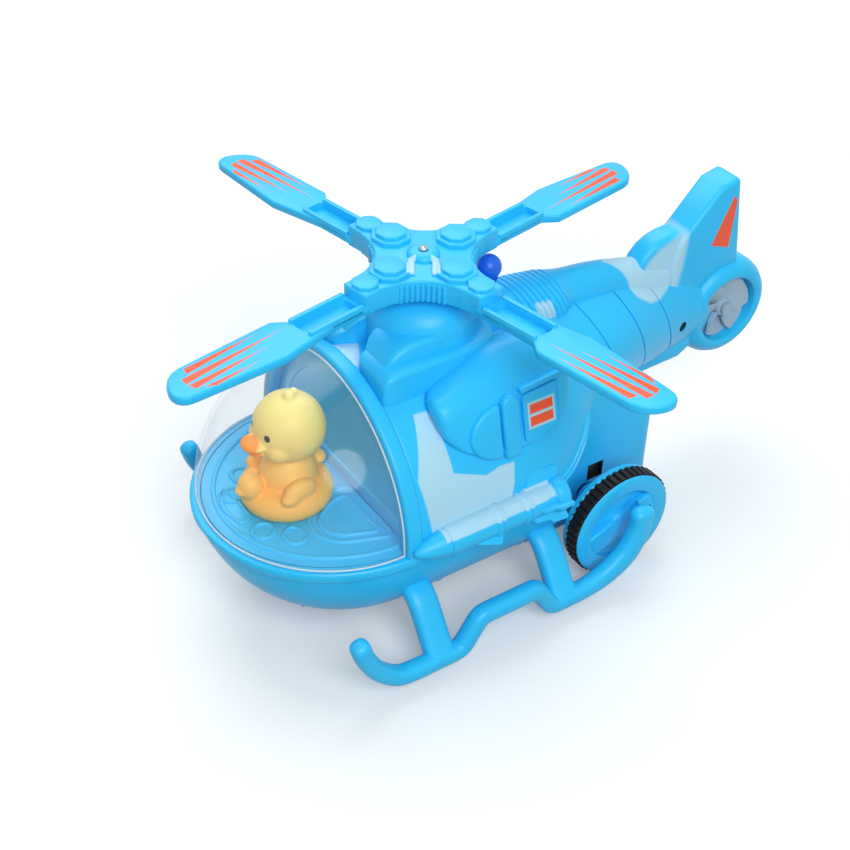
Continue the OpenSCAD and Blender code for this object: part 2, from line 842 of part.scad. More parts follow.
// The idler's tooth phase at the mast pinion, carried over to the pinion
function phase_at(turn, teeth, angle) = (angle - turn) * teeth / 360 - floor((angle - turn) * teeth / 360);
idler_phase = phase_at(idler_turn, wheel_teeth, heading(idler_at, pinion_at));
mast_turn = heading(pinion_at, idler_at) - (0.5 - idler_phase) * 360 / mast_teeth;
lay_phase = phase_at(lay_turn_wheel, wheel_teeth, heading(lay_at, flywheel_at));
flywheel_turn = heading(flywheel_at, lay_at) - (0.5 - lay_phase) * 360 / pinion_teeth;
// The mast pinion's tooth phase at its top, carried over to the crown
mast_phase = phase_at(mast_turn, mast_teeth, 90);
crown_turn = 90 + (0.5 - mast_phase) * 360 / crown_teeth;

// Side plate of the friction motor with bores for every shaft
module motor_plate(y0) {
    outline = [[-68, housing_z + wall + seat], [-68, 31], [-54, 58], [-36, 59], [-14, 52], [10, 52],
        [10, 33], [-20, 26], [-24, housing_z + wall + 4], [-30, housing_z + wall + seat]];
    difference() {
        translate([0, y0 + plate_t, 0])
            rotate([90, 0, 0])
                linear_extrude(plate_t)
                    polygon(outline);
        for (at = [axle_at, lay_at, flywheel_at, idler_at, pinion_at])
            shaft_y(at, shaft_r + run_gap, y0 - 1, y0 + plate_t + 1);
        for (at = spacer_places)
            shaft_y(at, spacer_pin_r, y0 - 1, y0 + plate_t + 1);
    }
}

module motor_plate_left() {
    color(white_nylon)
        craft()
            motor_plate(plate_y);
}

module motor_plate_right() {
    color(white_nylon)
        craft()
            motor_plate(-plate_y - plate_t);
}

// Turned posts that hold the two motor plates apart
spacer_places = [[-64, 12.5], [-64, 28], [-27, 53], [-31, 13]];
spacer_pin_r = 1.2;
module plate_spacers() {
    color(steel)
        craft()
            for (at = spacer_places) {
                shaft_y(at, 2.2, -plate_y, plate_y);
                shaft_y(at, spacer_pin_r, -plate_y - plate_t, plate_y + plate_t);
            }
}

// Bridge between the plates with the lower bearing of the mast
module mast_bridge() {
    bridge_z = crown_z + 6;
    color(white_nylon)
        craft()
            difference() {
                union() {
                    translate([-8, -plate_y + seat, bridge_z])
                        cube([16, 2 * (plate_y - seat), 3]);
                    for (s = [-1, 1])
                        translate([-8, s * (plate_y - 1.5 - seat) - 1.5, bridge_z - 4])
                            cube([16, 3, 4]);
                }
                cylinder(r = shaft_r + run_gap, h = 120);
            }
}

// Bearing bush in the top of the pylon
module mast_bush() {
    color(white_nylon)
        craft()
            translate([0, 0, pylon_top - bush_len])
                difference() {
                    cylinder(r = bush_r, h = bush_len);
                    translate([0, 0, -1])
                        cylinder(r = shaft_r + run_gap, h = bush_len + 2);
                }
}

// Steel rear axle
module rear_axle() {
    color(steel)
        craft()
            shaft_y(axle_at, shaft_r, -wheel_face + 2.5, wheel_face - 2.5);
}

// Gear pressed on the axle
module axle_gear() {
    color(white_nylon)
        craft()
            difference() {
                spur(axle_at, axle_teeth, -gear_w / 2, gear_w / 2, axle_turn);
                shaft_y(axle_at, shaft_r, -gear_w, gear_w);
            }
}

// Rear wheel: two flanges around the rim, dished outer face crossed by a broad bar
flange_out = 1;
flange_in = 2.4;
module wheel(side) {
    bar_w = 9;
    flange_r = tyre_r - 0.7;
    inner = wheel_face - wheel_w;
    boss = housing_w + 1.8;
    dish = 3;
    color(blue)
        craft()
            on_side(side)
                translate([axle_at[0], 0, axle_at[1]])
                    rotate([-90, 0, 0]) {
                        rotate_extrude()
                            polygon([[shaft_r, boss], [5, boss], [5, inner], [flange_r, inner],
                                [flange_r, inner + flange_in], [rim_r, inner + flange_in],
                                [rim_r, wheel_face - flange_out], [flange_r, wheel_face - flange_out],
                                [flange_r, wheel_face - 0.4], [flange_r - 0.6, wheel_face],
                                [14.5, wheel_face], [13.5, wheel_face - dish], [5, wheel_face - dish],
                                [4.5, wheel_face - 0.8], [0, wheel_face - 0.8], [0, wheel_face - 2.5],
                                [shaft_r, wheel_face - 2.5]]);
                        for (a = [28, 208])
                            rotate(a)
                                translate([4.2, -bar_w / 2, wheel_face - dish - 0.5])
                                    cube([9.6, bar_w, dish - 0.3]);
                    }
}

module wheel_left() { wheel(1); }
module wheel_right() { wheel(-1); }

// Ribbed rubber tyre between the wheel's flanges
module tyre(side) {
    inner = wheel_face - wheel_w + flange_in;
    width = wheel_w - flange_in - flange_out;
    groove = 0.9;
    color(black)
        craft()
            on_side(side)
                translate([axle_at[0], inner + width, axle_at[1]])
                    rotate([90, 0, 0])
                        linear_extrude(width)
                            difference() {
                                polygon([for (i = [0:tyre_ribs - 1], k = [0:3])
                                    let (a = 360 / tyre_ribs * (i + [0, 0.08, 0.5, 0.58][k] + 0.71),
                                         r = k == 1 || k == 2 ? tyre_r : tyre_r - groove)
                                    r * [cos(a), sin(a)]]);
                                circle(r = rim_r);
                            }
}

module tyre_left() { tyre(1); }
module tyre_right() { tyre(-1); }

// Compound gear: pinion on the axle gear, wheel that drives flywheel and rotor train
module lay_gear() {
    color(white_nylon)
        craft() {
            shaft_y(lay_at, shaft_r, -plate_y - plate_t, plate_y + plate_t);
            spur(lay_at, lay_teeth, -gear_w / 2 - 0.5, train_in, lay_turn_pinion);
            spur(lay_at, wheel_teeth, train_in, train_out, lay_turn_wheel);
        }
}

// Metal flywheel with its pinion
module flywheel() {
    color(steel)
        craft() {
            shaft_y(flywheel_at, shaft_r, -plate_y - plate_t, plate_y + plate_t);
            shaft_y(flywheel_at, flywheel_r, flywheel_y - flywheel_w / 2, flywheel_y + flywheel_w / 2);
            spur(flywheel_at, pinion_teeth, train_in - 1, train_out, flywheel_turn);
        }
}

// Idler between the lay gear and the mast pinion
module idler_gear() {
    color(white_nylon)
        craft() {
            shaft_y(idler_at, shaft_r, -plate_y - plate_t, plate_y + plate_t);
            spur(idler_at, wheel_teeth, train_in, train_out, idler_turn);
        }
}

// Pinion below the crown gear
module mast_pinion() {
    color(white_nylon)
        craft() {
            shaft_y(pinion_at, shaft_r, -plate_y - plate_t, plate_y + plate_t);
            spur(pinion_at, mast_teeth, crown_r - crown_half - 1, train_out, mast_turn);
        }
}

// Upright steel rotor shaft
module rotor_shaft() {
    color(steel)
        craft()
            translate([0, 0, crown_z - 2])
                cylinder(r = shaft_r, h = mast_top - crown_z + 2);
}

// Crown gear with its teeth hanging down onto the mast pinion
module crown_gear() {
    tooth_w = 0.9;
    tooth_root = 1.25 * gear_m;
    tooth_tip = 0.75 * gear_m;
    color(white_nylon)
        craft()
            difference() {
                union() {
                    translate([0, 0, crown_z + tooth_root])
                        cylinder(r = crown_r + crown_half, h = 2);
                    translate([0, 0, crown_z + tooth_root])
                        cylinder(r = 5, h = 3.6);
                    for (i = [0:crown_teeth - 1])
                        rotate(crown_turn + i * 360 / crown_teeth)
                            translate([crown_r - crown_half, 0, crown_z - tooth_tip])
                                rotate([90, 0, 90])
                                    linear_extrude(2 * crown_half - 0.2)
                                        polygon([[-tooth_w / 2, 0], [tooth_w / 2, 0],
                                            [tooth_w * 0.8, tooth_tip + tooth_root + 0.5],
                                            [-tooth_w * 0.8, tooth_tip + tooth_root + 0.5]]);
                }
                cylinder(r = shaft_r, h = 120);
            }
}

// Rotor hub: drum with four arms, octagonal bosses and a socket for each blade
module rotor_hub() {
    arm_top = blade_z + 4;
    arm_floor = blade_z - blade_t - 0.7;
    tongue = 7;
    block_w = arm_w + 0.8;
    color(blue)
        craft()
            rotate(rest_angle)
                difference() {
                    union() {
                        translate([0, 0, hub_floor])
                            cylinder(r = drum_r, h = arm_top - hub_floor);
                        cylinder_cap();
                        for (a = [0:90:270])
                            rotate(a) {
                                translate([0, -block_w / 2, arm_floor])
                                    cube([hub_reach - seat, block_w, arm_top - arm_floor]);
                                translate([14.3, 0, arm_top - 1])
                                    rotate(22.5)
                                        cylinder(r = 6.6, h = blade_z + boss_h - arm_top + 1, $fn = 8);
                                translate([hub_reach - 4.5, 0, arm_top - 1])
                                    rotate(22.5)
                                        cylinder(r = 4.2, h = 3, $fn = 8);
                            }
                    }
                    for (a = [45:90:315])
                        rotate(a)
                            translate([drum_r + 3.5, 0, hub_floor + 4])
                                cylinder(r = 6, h = 40);
                    for (a = [0:90:270])
                        rotate(a)
                            translate([hub_reach - tongue, -arm_w / 2 + 1, blade_z - blade_t])
                                cube([tongue + 1, arm_w - 2, blade_t]);
                    translate([0, 0, hub_floor - 1])
                        cylinder(r = shaft_r, h = mast_top - hub_floor + 1);
                    translate([0, 0, mast_top - 1])
                        cylinder(r = screw_r, h = 20);
                }
}

// Round cap in the middle of the hub
module cylinder_cap() {
    translate([0, 0, hub_floor])
        cylinder(r = 7, h = blade_z + boss_h - 1 - hub_floor);
}

// One blade: tongue in the hub, slotted arm, broad outer blade
module rotor_blade(i) {
    tongue = 7;
    slot_w = arm_w - 4;
    color(blue)
        craft()
            rotate(rest_angle + 90 * i)
                difference() {
                    union() {
                        translate([0, 0, blade_z - blade_t])
                            linear_extrude(blade_t)
                                polygon(blade_outline);
                        translate([hub_reach - tongue + seat, -arm_w / 2 + 1 + seat,
                            blade_z - blade_t + seat])
                            cube([tongue, arm_w - 2 - 2 * seat, blade_t - 2 * seat]);
                    }
                    translate([hub_reach + 3, -slot_w / 2, blade_z - 2])
                        cube([step_at - hub_reach - 5, slot_w, 10]);
                }
}

module rotor_blade_1() { rotor_blade(0); }
module rotor_blade_2() { rotor_blade(1); }
module rotor_blade_3() { rotor_blade(2); }
module rotor_blade_4() { rotor_blade(3); }

// Screw that holds the hub on its shaft
module rotor_screw() {
    top = blade_z + boss_h - 1;
    color(steel)
        craft()
            difference() {
                union() {
                    translate([0, 0, top + seat])
                        cylinder(r = 2.4, h = 1.2);
                    translate([0, 0, mast_top + seat])
                        cylinder(r = screw_r - seat, h = top - mast_top);
                }
                translate([-3, -0.3, top + 0.7])
                    cube([6, 0.6, 1]);
            }
}

// Self-tapping screws that hold hull and upper body together
module body_screws() {
    color(steel)
        craft()
            for (p = post_places)
                translate([p[0], p[1], 0]) {
                    translate([0, 0, post_z - screw_len / 2 - 1.8])
                        cylinder(r = screw_head_r - 0.2, h = 1.8 - seat);
                    translate([0, 0, post_z - screw_len / 2 - 1])
                        cylinder(r = screw_r, h = screw_len);
                }
}

lower_hull();
upper_body();
rear_housing();
tail_boom();
spine_fairing();
mast_pylon();
canopy_frame();
canopy();
cockpit_deck();
cockpit_wall();
pilot_figure();
beacon_dome();
engine_pod_left();
engine_pod_right();
rocket_left();
rocket_right();
skid_left();
skid_right();
tail_fin();
fan_duct();
fan_pin();
tail_fan();
nose_bracket();
nose_axle();
nose_roller();
motor_plate_left();
motor_plate_right();
plate_spacers();
mast_bridge();
mast_bush();
rear_axle();
axle_gear();
wheel_left();
wheel_right();
tyre_left();
tyre_right();
lay_gear();
flywheel();
idler_gear();
mast_pinion();
rotor_shaft();
crown_gear();
rotor_hub();
rotor_blade_1();
rotor_blade_2();
rotor_blade_3();
rotor_blade_4();
rotor_screw();
body_screws();
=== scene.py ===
import json
import math

import bmesh
import bpy
from mathutils import Matrix, Vector


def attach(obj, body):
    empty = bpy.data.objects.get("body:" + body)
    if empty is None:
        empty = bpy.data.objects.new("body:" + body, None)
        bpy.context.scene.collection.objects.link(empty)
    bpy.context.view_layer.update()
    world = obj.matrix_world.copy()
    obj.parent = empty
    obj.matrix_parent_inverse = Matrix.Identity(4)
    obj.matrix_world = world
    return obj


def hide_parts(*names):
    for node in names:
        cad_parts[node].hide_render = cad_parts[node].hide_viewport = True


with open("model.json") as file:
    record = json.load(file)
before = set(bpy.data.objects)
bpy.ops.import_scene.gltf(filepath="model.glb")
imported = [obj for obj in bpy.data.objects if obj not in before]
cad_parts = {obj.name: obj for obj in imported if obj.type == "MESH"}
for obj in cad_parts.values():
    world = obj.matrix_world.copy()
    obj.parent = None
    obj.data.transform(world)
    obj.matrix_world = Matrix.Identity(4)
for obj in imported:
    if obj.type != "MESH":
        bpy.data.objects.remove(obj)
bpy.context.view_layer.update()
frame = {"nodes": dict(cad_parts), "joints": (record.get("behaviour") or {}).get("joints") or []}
scene = bpy.context.scene
bpy.ops.object.select_all(action="DESELECT")

# Camera: stands high off the toy's front left, as a hand-held product shot is taken.
# Its place and turn were fitted to the skids, the wheel, the canopy arch and the blade tips.
CAMERA_AT = (0.25049, 0.32486, 0.35963)
CAMERA_TURN = (-124.761, -37.942, 1.576)
LENS = 63.39
yaw, pitch, roll = (math.radians(turn) for turn in CAMERA_TURN)
ahead = Vector((math.cos(pitch) * math.cos(yaw), math.cos(pitch) * math.sin(yaw), math.sin(pitch)))
level = ahead.cross(Vector((0, 0, 1))).normalized()
upright = level.cross(ahead)
across = math.cos(roll) * level + math.sin(roll) * upright
upward = math.cos(roll) * upright - math.sin(roll) * level
bpy.ops.object.camera_add(
    location=CAMERA_AT, rotation=Matrix((across, upward, -ahead)).transposed().to_euler())
bpy.context.object.data.lens = LENS
scene.camera = bpy.context.object


# Studio: a white paper sweep under a tent of even light.
# A broad lamp hangs high behind the toy, and a smaller one on its left.
# The paper keeps the toy's pale shadow, and beyond it everything is white.
class Wire:
    """A value on its way through a material's nodes. Arithmetic on wires adds Math nodes."""

    def __init__(self, tree, socket=None):
        self.tree = tree
        self.socket = socket

    def node(self, kind, settings, sockets, out=0):
        """Adds a node, gives it its settings, feeds its sockets, and hands on one of its outputs."""
        made = self.tree.nodes.new(kind)
        for name, value in settings.items():
            setattr(made, name, value)
        for name, value in sockets.items():
            if isinstance(value, Wire):
                self.tree.links.new(value.socket, made.inputs[name])
            else:
                made.inputs[name].default_value = value
        return Wire(self.tree, made.outputs[out])

    def reckon(self, operation, *terms):
        return self.node("ShaderNodeMath", {"operation": operation}, dict(enumerate(terms)))

    def __add__(self, other):
        return self.reckon("ADD", self, other)

    def __sub__(self, other):
        return self.reckon("SUBTRACT", self, other)

    def __rsub__(self, other):
        return self.reckon("SUBTRACT", other, self)

    def __mul__(self, other):
        return self.reckon("MULTIPLY", self, other)

    def __truediv__(self, other):
        return self.reckon("DIVIDE", self, other)

    def __pow__(self, other):
        return self.reckon("POWER", self, other)

    __radd__, __rmul__ = __add__, __mul__

    def least(self, other):
        return self.reckon("MINIMUM", self, other)

    def most(self, other):
        return self.reckon("MAXIMUM", self, other)

    def held(self):
        return self.node("ShaderNodeClamp", {}, {"Value": self})

    def unsigned(self):
        return self.reckon("ABSOLUTE", self)


def mix(factor, one, other):
    """One colour over another by a factor."""
    return factor.node("ShaderNodeMix", {"data_type": "RGBA"}, {0: factor, 6: one, 7: other}, 2)


def looked_at(tree):
    """1 where the camera looks straight at something, in a mirror or through clear plastic."""
    ray = Wire(tree).node("ShaderNodeLightPath", {}, {}, "Is Camera Ray")
    mirrored = Wire(tree, ray.socket.node.outputs["Is Glossy Ray"])
    passed = Wire(tree, ray.socket.node.outputs["Is Transmission Ray"])
    return ray.most(mirrored).most(passed)


TENT_LIGHT = 0.40
tent = bpy.data.worlds.new("tent")
tent.use_nodes = True
scene.world = tent
backdrop = tent.node_tree.nodes["Background"]
backdrop.inputs["Color"].default_value = (1, 1, 1, 1)
tent_strength = looked_at(tent.node_tree) * (1 - TENT_LIGHT) + TENT_LIGHT
tent.node_tree.links.new(tent_strength.socket, backdrop.inputs["Strength"])

REAR_LAMP = ((-0.2, -0.6, 1.05), 1.1, 8.3)
LEFT_LAMP = ((0.30, 0.82, 0.78), 0.7, 8.2)
LAMPS_AIM = Vector((0, 0, 0.05))
for lamp_at, lamp_size, lamp_power in (REAR_LAMP, LEFT_LAMP):
    bpy.ops.object.light_add(type="AREA", location=lamp_at)
    lamp = bpy.context.object
    lamp.data.shape = "DISK"
    lamp.data.size = lamp_size
    lamp.data.energy = lamp_power
    lamp.rotation_euler = (LAMPS_AIM - lamp.location).to_track_quat("-Z", "Y").to_euler()

PAPER_SIZE = 7
PAPER_GRAIN = 128
PAPER_LIT = (0.78, 0.81, 0.82, 1)
PAPER_BOUNCE = (0.26, 0.28, 0.29, 1)
GLOW_NEAR = (0.17, 0.185, 0.19, 1)
GLOW_FAR = (0.68, 0.67, 0.66, 1)
GLOW_START = 0.35
GLOW_SPAN = 1.1
bpy.ops.mesh.primitive_plane_add(size=PAPER_SIZE)
paper = bpy.context.object
paper.name = "paper_sweep"
paper_sheet = bpy.data.materials.new("white_paper")
paper_sheet.use_nodes = True
paper_shader = paper_sheet.node_tree.nodes["Principled BSDF"]
paper_shader.inputs["Specular IOR Level"].default_value = 0.1
paper_shader.inputs["Emission Strength"].default_value = 1.0
paper_start = Wire(paper_sheet.node_tree)
paper_bounced = paper_start.node("ShaderNodeLightPath", {}, {}, "Is Diffuse Ray")
paper_spot = paper_start.node("ShaderNodeTexCoord", {}, {}, "Object")
paper_grain = paper_start.node("ShaderNodeTexNoise", {}, {"Vector": paper_spot, "Scale": PAPER_GRAIN})
paper_reach = paper_spot.node("ShaderNodeVectorMath", {"operation": "LENGTH"}, {0: paper_spot}, "Value")
paper_glow = mix(((paper_reach - GLOW_START) / GLOW_SPAN).held(), GLOW_NEAR, GLOW_FAR)
for socket, wire in (
        ("Base Color", mix(paper_bounced, PAPER_LIT, PAPER_BOUNCE)),
        ("Roughness", paper_grain * 0.1 + 0.8),
        ("Emission Color", mix(looked_at(paper_sheet.node_tree), (0, 0, 0, 1), paper_glow))):
    paper_sheet.node_tree.links.new(wire.socket, paper_shader.inputs[socket])
paper.data.materials.append(paper_sheet)

# Lower hull: the boat-shaped belly of the toy, injection-moulded in sky-blue plastic.
# It has a 2 mm wall, a pocket for the nose roller and four wells for the body screws.
MM = 0.001
joint_at = {joint["name"]: joint["pos_m"] for joint in frame["joints"]}
MAST = joint_at["rotor_spin"][0] / MM
WAIST_Z = 44
WAIST_HALF = 45
NOSE_X = 30
NOSE_LONG = 49.3
HULL_DEEP = 36
HULL_BACK = 27
WALL = 2
ROLLER_POCKET = ((38.9, -11, 0), (54.1, 11, 18))
POST_R = 3.6
WELL_R = 2.7
SKY = (0.022, 0.53, 0.95)
SATIN = 0.36
SHEEN = 0.32
FLOW_SCALE = 0.05
GRAIN_SCALE = 1.6
GRAIN_DEEP = 0.00004


def only(obj):
    """Leaves one piece selected and active."""
    bpy.ops.object.select_all(action="DESELECT")
    obj.select_set(True)
    bpy.context.view_layer.objects.active = obj


def take(name):
    """Names the primitive just added and puts its place and turn in its mesh."""
    obj = bpy.context.object
    obj.name = obj.data.name = name
    only(obj)
    bpy.ops.object.transform_apply(location=True, rotation=True, scale=True)
    return obj


def pick(obj, test, kind="FACE"):
    """Opens a piece for editing, with what the test accepts selected."""
    only(obj)
    bpy.ops.object.mode_set(mode="EDIT")
    bpy.ops.mesh.select_mode(type=kind)
    bpy.ops.mesh.select_all(action="DESELECT")
    form = bmesh.from_edit_mesh(obj.data)
    form.normal_update()
    for part in {"FACE": form.faces, "EDGE": form.edges, "VERT": form.verts}[kind]:
        if test(part):
            part.select_set(True)
    form.select_flush_mode()
    bmesh.update_edit_mesh(obj.data)


def put_down():
    bpy.ops.object.mode_set(mode="OBJECT")


def press(obj, form):
    """Moves every corner of a piece to where form puts it."""
    for corner in obj.data.vertices:
        corner.co = form(*corner.co)
    obj.data.update()


def weld(obj, close=False):
    """Merges doubles, closes open ends if asked, and turns the faces outwards."""
    pick(obj, lambda face: True)
    bpy.ops.mesh.remove_doubles(threshold=0.003)
    if close:
        bpy.ops.mesh.fill_holes(sides=0)
    bpy.ops.mesh.normals_make_consistent(inside=False)
    put_down()


def fit(obj, kind, **settings):
    """Adds a modifier to a piece and applies it."""
    only(obj)
    step = obj.modifiers.new(kind.lower(), kind)
    for name, value in settings.items():
        setattr(step, name, value)
    bpy.ops.object.modifier_apply(modifier=step.name)


def cut(obj, *tools):
    for tool in tools:
        fit(obj, "BOOLEAN", object=tool, operation="DIFFERENCE", solver="EXACT")
        bpy.data.objects.remove(tool)


def fuse(obj, *others):
    for other in others:
        fit(obj, "BOOLEAN", object=other, operation="UNION", solver="EXACT")
        bpy.data.objects.remove(other)


def block(name, low, high):
    """A box between two corners, for cutting with or as a start."""
    bpy.ops.mesh.primitive_cube_add(
        size=1, location=[(a + b) / 2 for a, b in zip(low, high)], scale=[b - a for a, b in zip(low, high)])
    return take(name)


def rod(name, radius, low, high, sides=32, turn=(0, 0, 0)):
    """A round bar from low to high, upright unless turned."""
    low, high = Vector(low), Vector(high)
    bpy.ops.mesh.primitive_cylinder_add(
        vertices=sides, radius=radius, depth=(high - low).length, location=(low + high) / 2, rotation=turn)
    return take(name)


def plastic(name, colour, rough, *paints):
    """Moulded plastic: faint flow clouding, a fine satin skin, and paint where its masks say, some of which
    is painted shade.
    A paint is a colour and a mask. The mask takes x, y and z as wires, in mm from the mast."""
    made = bpy.data.materials.new(name)
    made.use_nodes = True
    shader = made.node_tree.nodes["Principled BSDF"]
    start = Wire(made.node_tree)
    here = start.node("ShaderNodeTexCoord", {}, {}, "Object")
    mm = start.node("ShaderNodeVectorMath", {"operation": "MULTIPLY_ADD"},
                    {0: here, 1: (1 / MM, 1 / MM, 1 / MM), 2: (-MAST, 0, 0)})
    place = [start.node("ShaderNodeSeparateXYZ", {}, {0: mm}, axis) for axis in "XYZ"]
    flow = start.node("ShaderNodeTexNoise", {}, {"Vector": mm, "Scale": FLOW_SCALE, "Detail": 3.0})
    tone = mix(flow, [c * 0.9 for c in colour] + [1], [min(1, c * 1.08) for c in colour] + [1])
    dull = flow * 0.12 + (rough - 0.06)
    for paint, mask in paints:
        where = mask(*place)
        tone = mix(where, tone, paint)
        dull = dull + where * 0.08
    grain = start.node("ShaderNodeTexNoise", {}, {"Vector": mm, "Scale": GRAIN_SCALE, "Detail": 2.0})
    skin_bump = start.node("ShaderNodeBump", {}, {"Strength": 0.14, "Distance": GRAIN_DEEP, "Height": grain})
    for socket, wire in (("Base Color", tone), ("Roughness", dull), ("Normal", skin_bump)):
        made.node_tree.links.new(wire.socket, shader.inputs[socket])
    shader.inputs["Specular IOR Level"].default_value = SHEEN
    return made


def mount(obj, body, slot, finish, *nodes, smooth=38):
    """Brings a piece from mm round the mast into the frame, gives it its finish and fixes it to a body."""
    obj.data.transform(Matrix.Scale(MM, 4) @ Matrix.Translation((MAST, 0, 0)))
    only(obj)
    bpy.ops.object.shade_smooth_by_angle(angle=math.radians(smooth))
    obj.data.materials.clear()
    obj.data.materials.append(finish)
    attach(obj, body)
    if nodes:
        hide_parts(*nodes)
    bpy.ops.object.select_all(action="DESELECT")


def blunt(value, power):
    """A sine or a cosine, filled out for a squarer round."""
    return math.copysign(abs(value) ** power, value)


def hull_place(x, y, z):
    """Draws the unit half ball out to the hull's full round section and its blunt nose."""
    reach = math.hypot(y, z)
    if reach < 1e-6:
        return NOSE_X + NOSE_LONG * x, 0, WAIST_Z
    beam = reach * WAIST_HALF * blunt(y / reach, 0.8)
    deep = reach * HULL_DEEP * abs(blunt(z / reach, 0.8))
    return NOSE_X + NOSE_LONG * x, beam, WAIST_Z - deep


sky_plain = plastic("sky_plastic_plain", SKY, SATIN)
bpy.ops.mesh.primitive_uv_sphere_add(segments=96, ring_count=64, radius=1, rotation=(0, math.pi / 2, 0))
hull = take("hull_shell")
for cut_normal, side in (((0, 0, 1), "clear_outer"), ((1, 0, 0), "clear_inner")):
    pick(hull, lambda face: True)
    bpy.ops.mesh.bisect(plane_co=(0, 0, 0), plane_no=cut_normal, **{side: True})
    put_down()
press(hull, hull_place)
pick(hull, lambda edge: all(abs(v.co.x - NOSE_X) < 0.01 for v in edge.verts) and edge.is_boundary, "EDGE")
bpy.ops.mesh.extrude_region_move(TRANSFORM_OT_translate={"value": (-NOSE_X - HULL_BACK, 0, 0)})
bpy.ops.mesh.edge_face_add()
put_down()
weld(hull)
fit(hull, "SOLIDIFY", thickness=WALL, offset=-1)
cut(hull, block("roller_pocket", *ROLLER_POCKET))
for well_x, well_y in ((x, y) for x in (14, -19) for y in (31, -31)):
    fuse(hull, rod("screw_post", POST_R, (well_x, well_y, 16), (well_x, well_y, 36)))
    cut(hull, rod("screw_well", WELL_R, (well_x, well_y, 0), (well_x, well_y, 22)))
mount(hull, "airframe", "sky_plastic", sky_plain, "lower_hull")

# Rear housing: the narrow box under the tail that holds the friction motor.
# It is moulded in the same blue, with rounded rear corners and a window behind each wheel, a shallow pocket
# painted black as painted shade for the dark inside.
# Black: the pilot's painted eyes, and painted shade in the housing windows and the boom's screw hole.
INK_AND_SHADE = (0.012, 0.012, 0.014, 1)
HOUSING_HALF = 28
HOUSING_BACK = -82
AXLE_X = joint_at["wheel_spin"][0] / MM - MAST
AXLE_Z = joint_at["wheel_spin"][2] / MM
AXLE_HOLE_R = 3.4
WINDOW = (-58.8, -52.2, 24.6, 31)


def plate(name, outline, low, high, lay=lambda u, v, w: (u, v, w)):
    """A plate cut to an outline, from low to high, with lay turning it to its place."""
    bpy.ops.mesh.primitive_circle_add(vertices=len(outline), fill_type="NGON")
    obj = take(name)
    for corner, (u, v) in zip(obj.data.vertices, outline):
        corner.co = (u, v, low)
    pick(obj, lambda face: True)
    bpy.ops.mesh.extrude_region_move(TRANSFORM_OT_translate={"value": (0, 0, high - low)})
    put_down()
    press(obj, lay)
    weld(obj)
    return obj


def patch(a, b, outline, soft=0.5):
    """A mask that is 1 inside a convex outline on two of the coordinates, with a soft edge."""
    flat = a.node("ShaderNodeCombineXYZ", {}, {0: a, 1: b, 2: 1.0})
    turn = sum(p[0] * q[1] - q[0] * p[1] for p, q in zip(outline, outline[1:] + outline[:1]))
    inside = None
    for (au, av), (bu, bv) in zip(outline, outline[1:] + outline[:1]):
        span = math.copysign(math.hypot(bu - au, bv - av), turn)
        lean_u, lean_v = (av - bv) / span, (bu - au) / span
        edge = flat.node("ShaderNodeVectorMath", {"operation": "DOT_PRODUCT"},
                         {0: flat, 1: (lean_u, lean_v, -lean_u * au - lean_v * av)}, "Value")
        inside = edge if inside is None else inside.least(edge)
    return (inside / soft + 0.5).held()


def soften(obj, width, steps=3, angle=32):
    """Rounds the sharp edges of a piece."""
    fit(obj, "BEVEL", width=width, segments=steps, limit_method="ANGLE", angle_limit=math.radians(angle),
        use_clamp_overlap=True)


def oblong(rear, front, low, high):
    """The corners of an upright box, seen from the side."""
    return [(front, low), (front, high), (rear, high), (rear, low)]


def side_on(u, v, w):
    """Lays a plate in the toy's long upright plane."""
    return u, w, v


# Black in the window pocket, a painted shade for the dark inside of the housing.
def window_shade(x, y, z):
    rear, front, low, high = WINDOW
    return patch(x, z, oblong(rear - 0.1, front + 0.1, low - 0.1, high + 0.1), 0.2)


housing_paint = plastic("housing_plastic", SKY, SATIN, (INK_AND_SHADE, window_shade))
housing = plate(
    "motor_housing",
    [(-26, 7), (HOUSING_BACK, 7), (HOUSING_BACK, 50.9), (-64, 60.6), (-56, 65), (-46, 67), (-26, 67)],
    -HOUSING_HALF, HOUSING_HALF, side_on)
pick(housing, lambda edge: all(v.co.x < HOUSING_BACK + 1 for v in edge.verts)
     and abs(edge.verts[0].co.y - edge.verts[1].co.y) < 0.1, "EDGE")
bpy.ops.mesh.bevel(offset=6, segments=6)
put_down()
soften(housing, 1.4)
rear, front, low, high = WINDOW
for side in (1, -1):
    right, left = sorted((side * (HOUSING_HALF - 1.8), side * (HOUSING_HALF + 1)))
    cut(housing, block("window", (rear, right, low), (front, left, high)))
    cut(housing, rod("axle_hole", AXLE_HOLE_R, (AXLE_X, 20 * side, AXLE_Z), (AXLE_X, 30 * side, AXLE_Z),
                     turn=(math.pi / 2, 0, 0)))
mount(housing, "airframe", "sky_plastic", housing_paint, "rear_housing")

# Upper body: the round shell behind the canopy, sprayed with a white splash through a mask.
# Its rear end draws in to the boom's section at a leaning joint, and a double bead edges it below.
# Behind the hull a flat wall on each side closes it off from the motor.
ROUND_Z = 46.5
TAIL_Z = 65.5
TAIL_RISE = TAIL_Z - ROUND_Z
BODY_FRONT = 28.5
BODY_LONG = 84.5
SEAM_LEAN = 0.36
SEAM_TOP = 86
LEAN_FRONT = -28
LEAN_LONG = 28
BLEND_FRONT = -38
BLEND_LONG = 22
LAP = 0.3
WHITE = (0.40, 0.69, 0.84, 1)
# Rows of x, half width and half height of the body's round section.
body_shape = [(x, WAIST_HALF, WAIST_HALF) for x in (BODY_FRONT, 0, -14)]
body_shape += [(-26, 43.6, 44.6), (-36, 40.6, 43.6), (-48, 35.4, 41.6), (-60, 28.6, 39.4), (-68, 24.6, 37.8)]
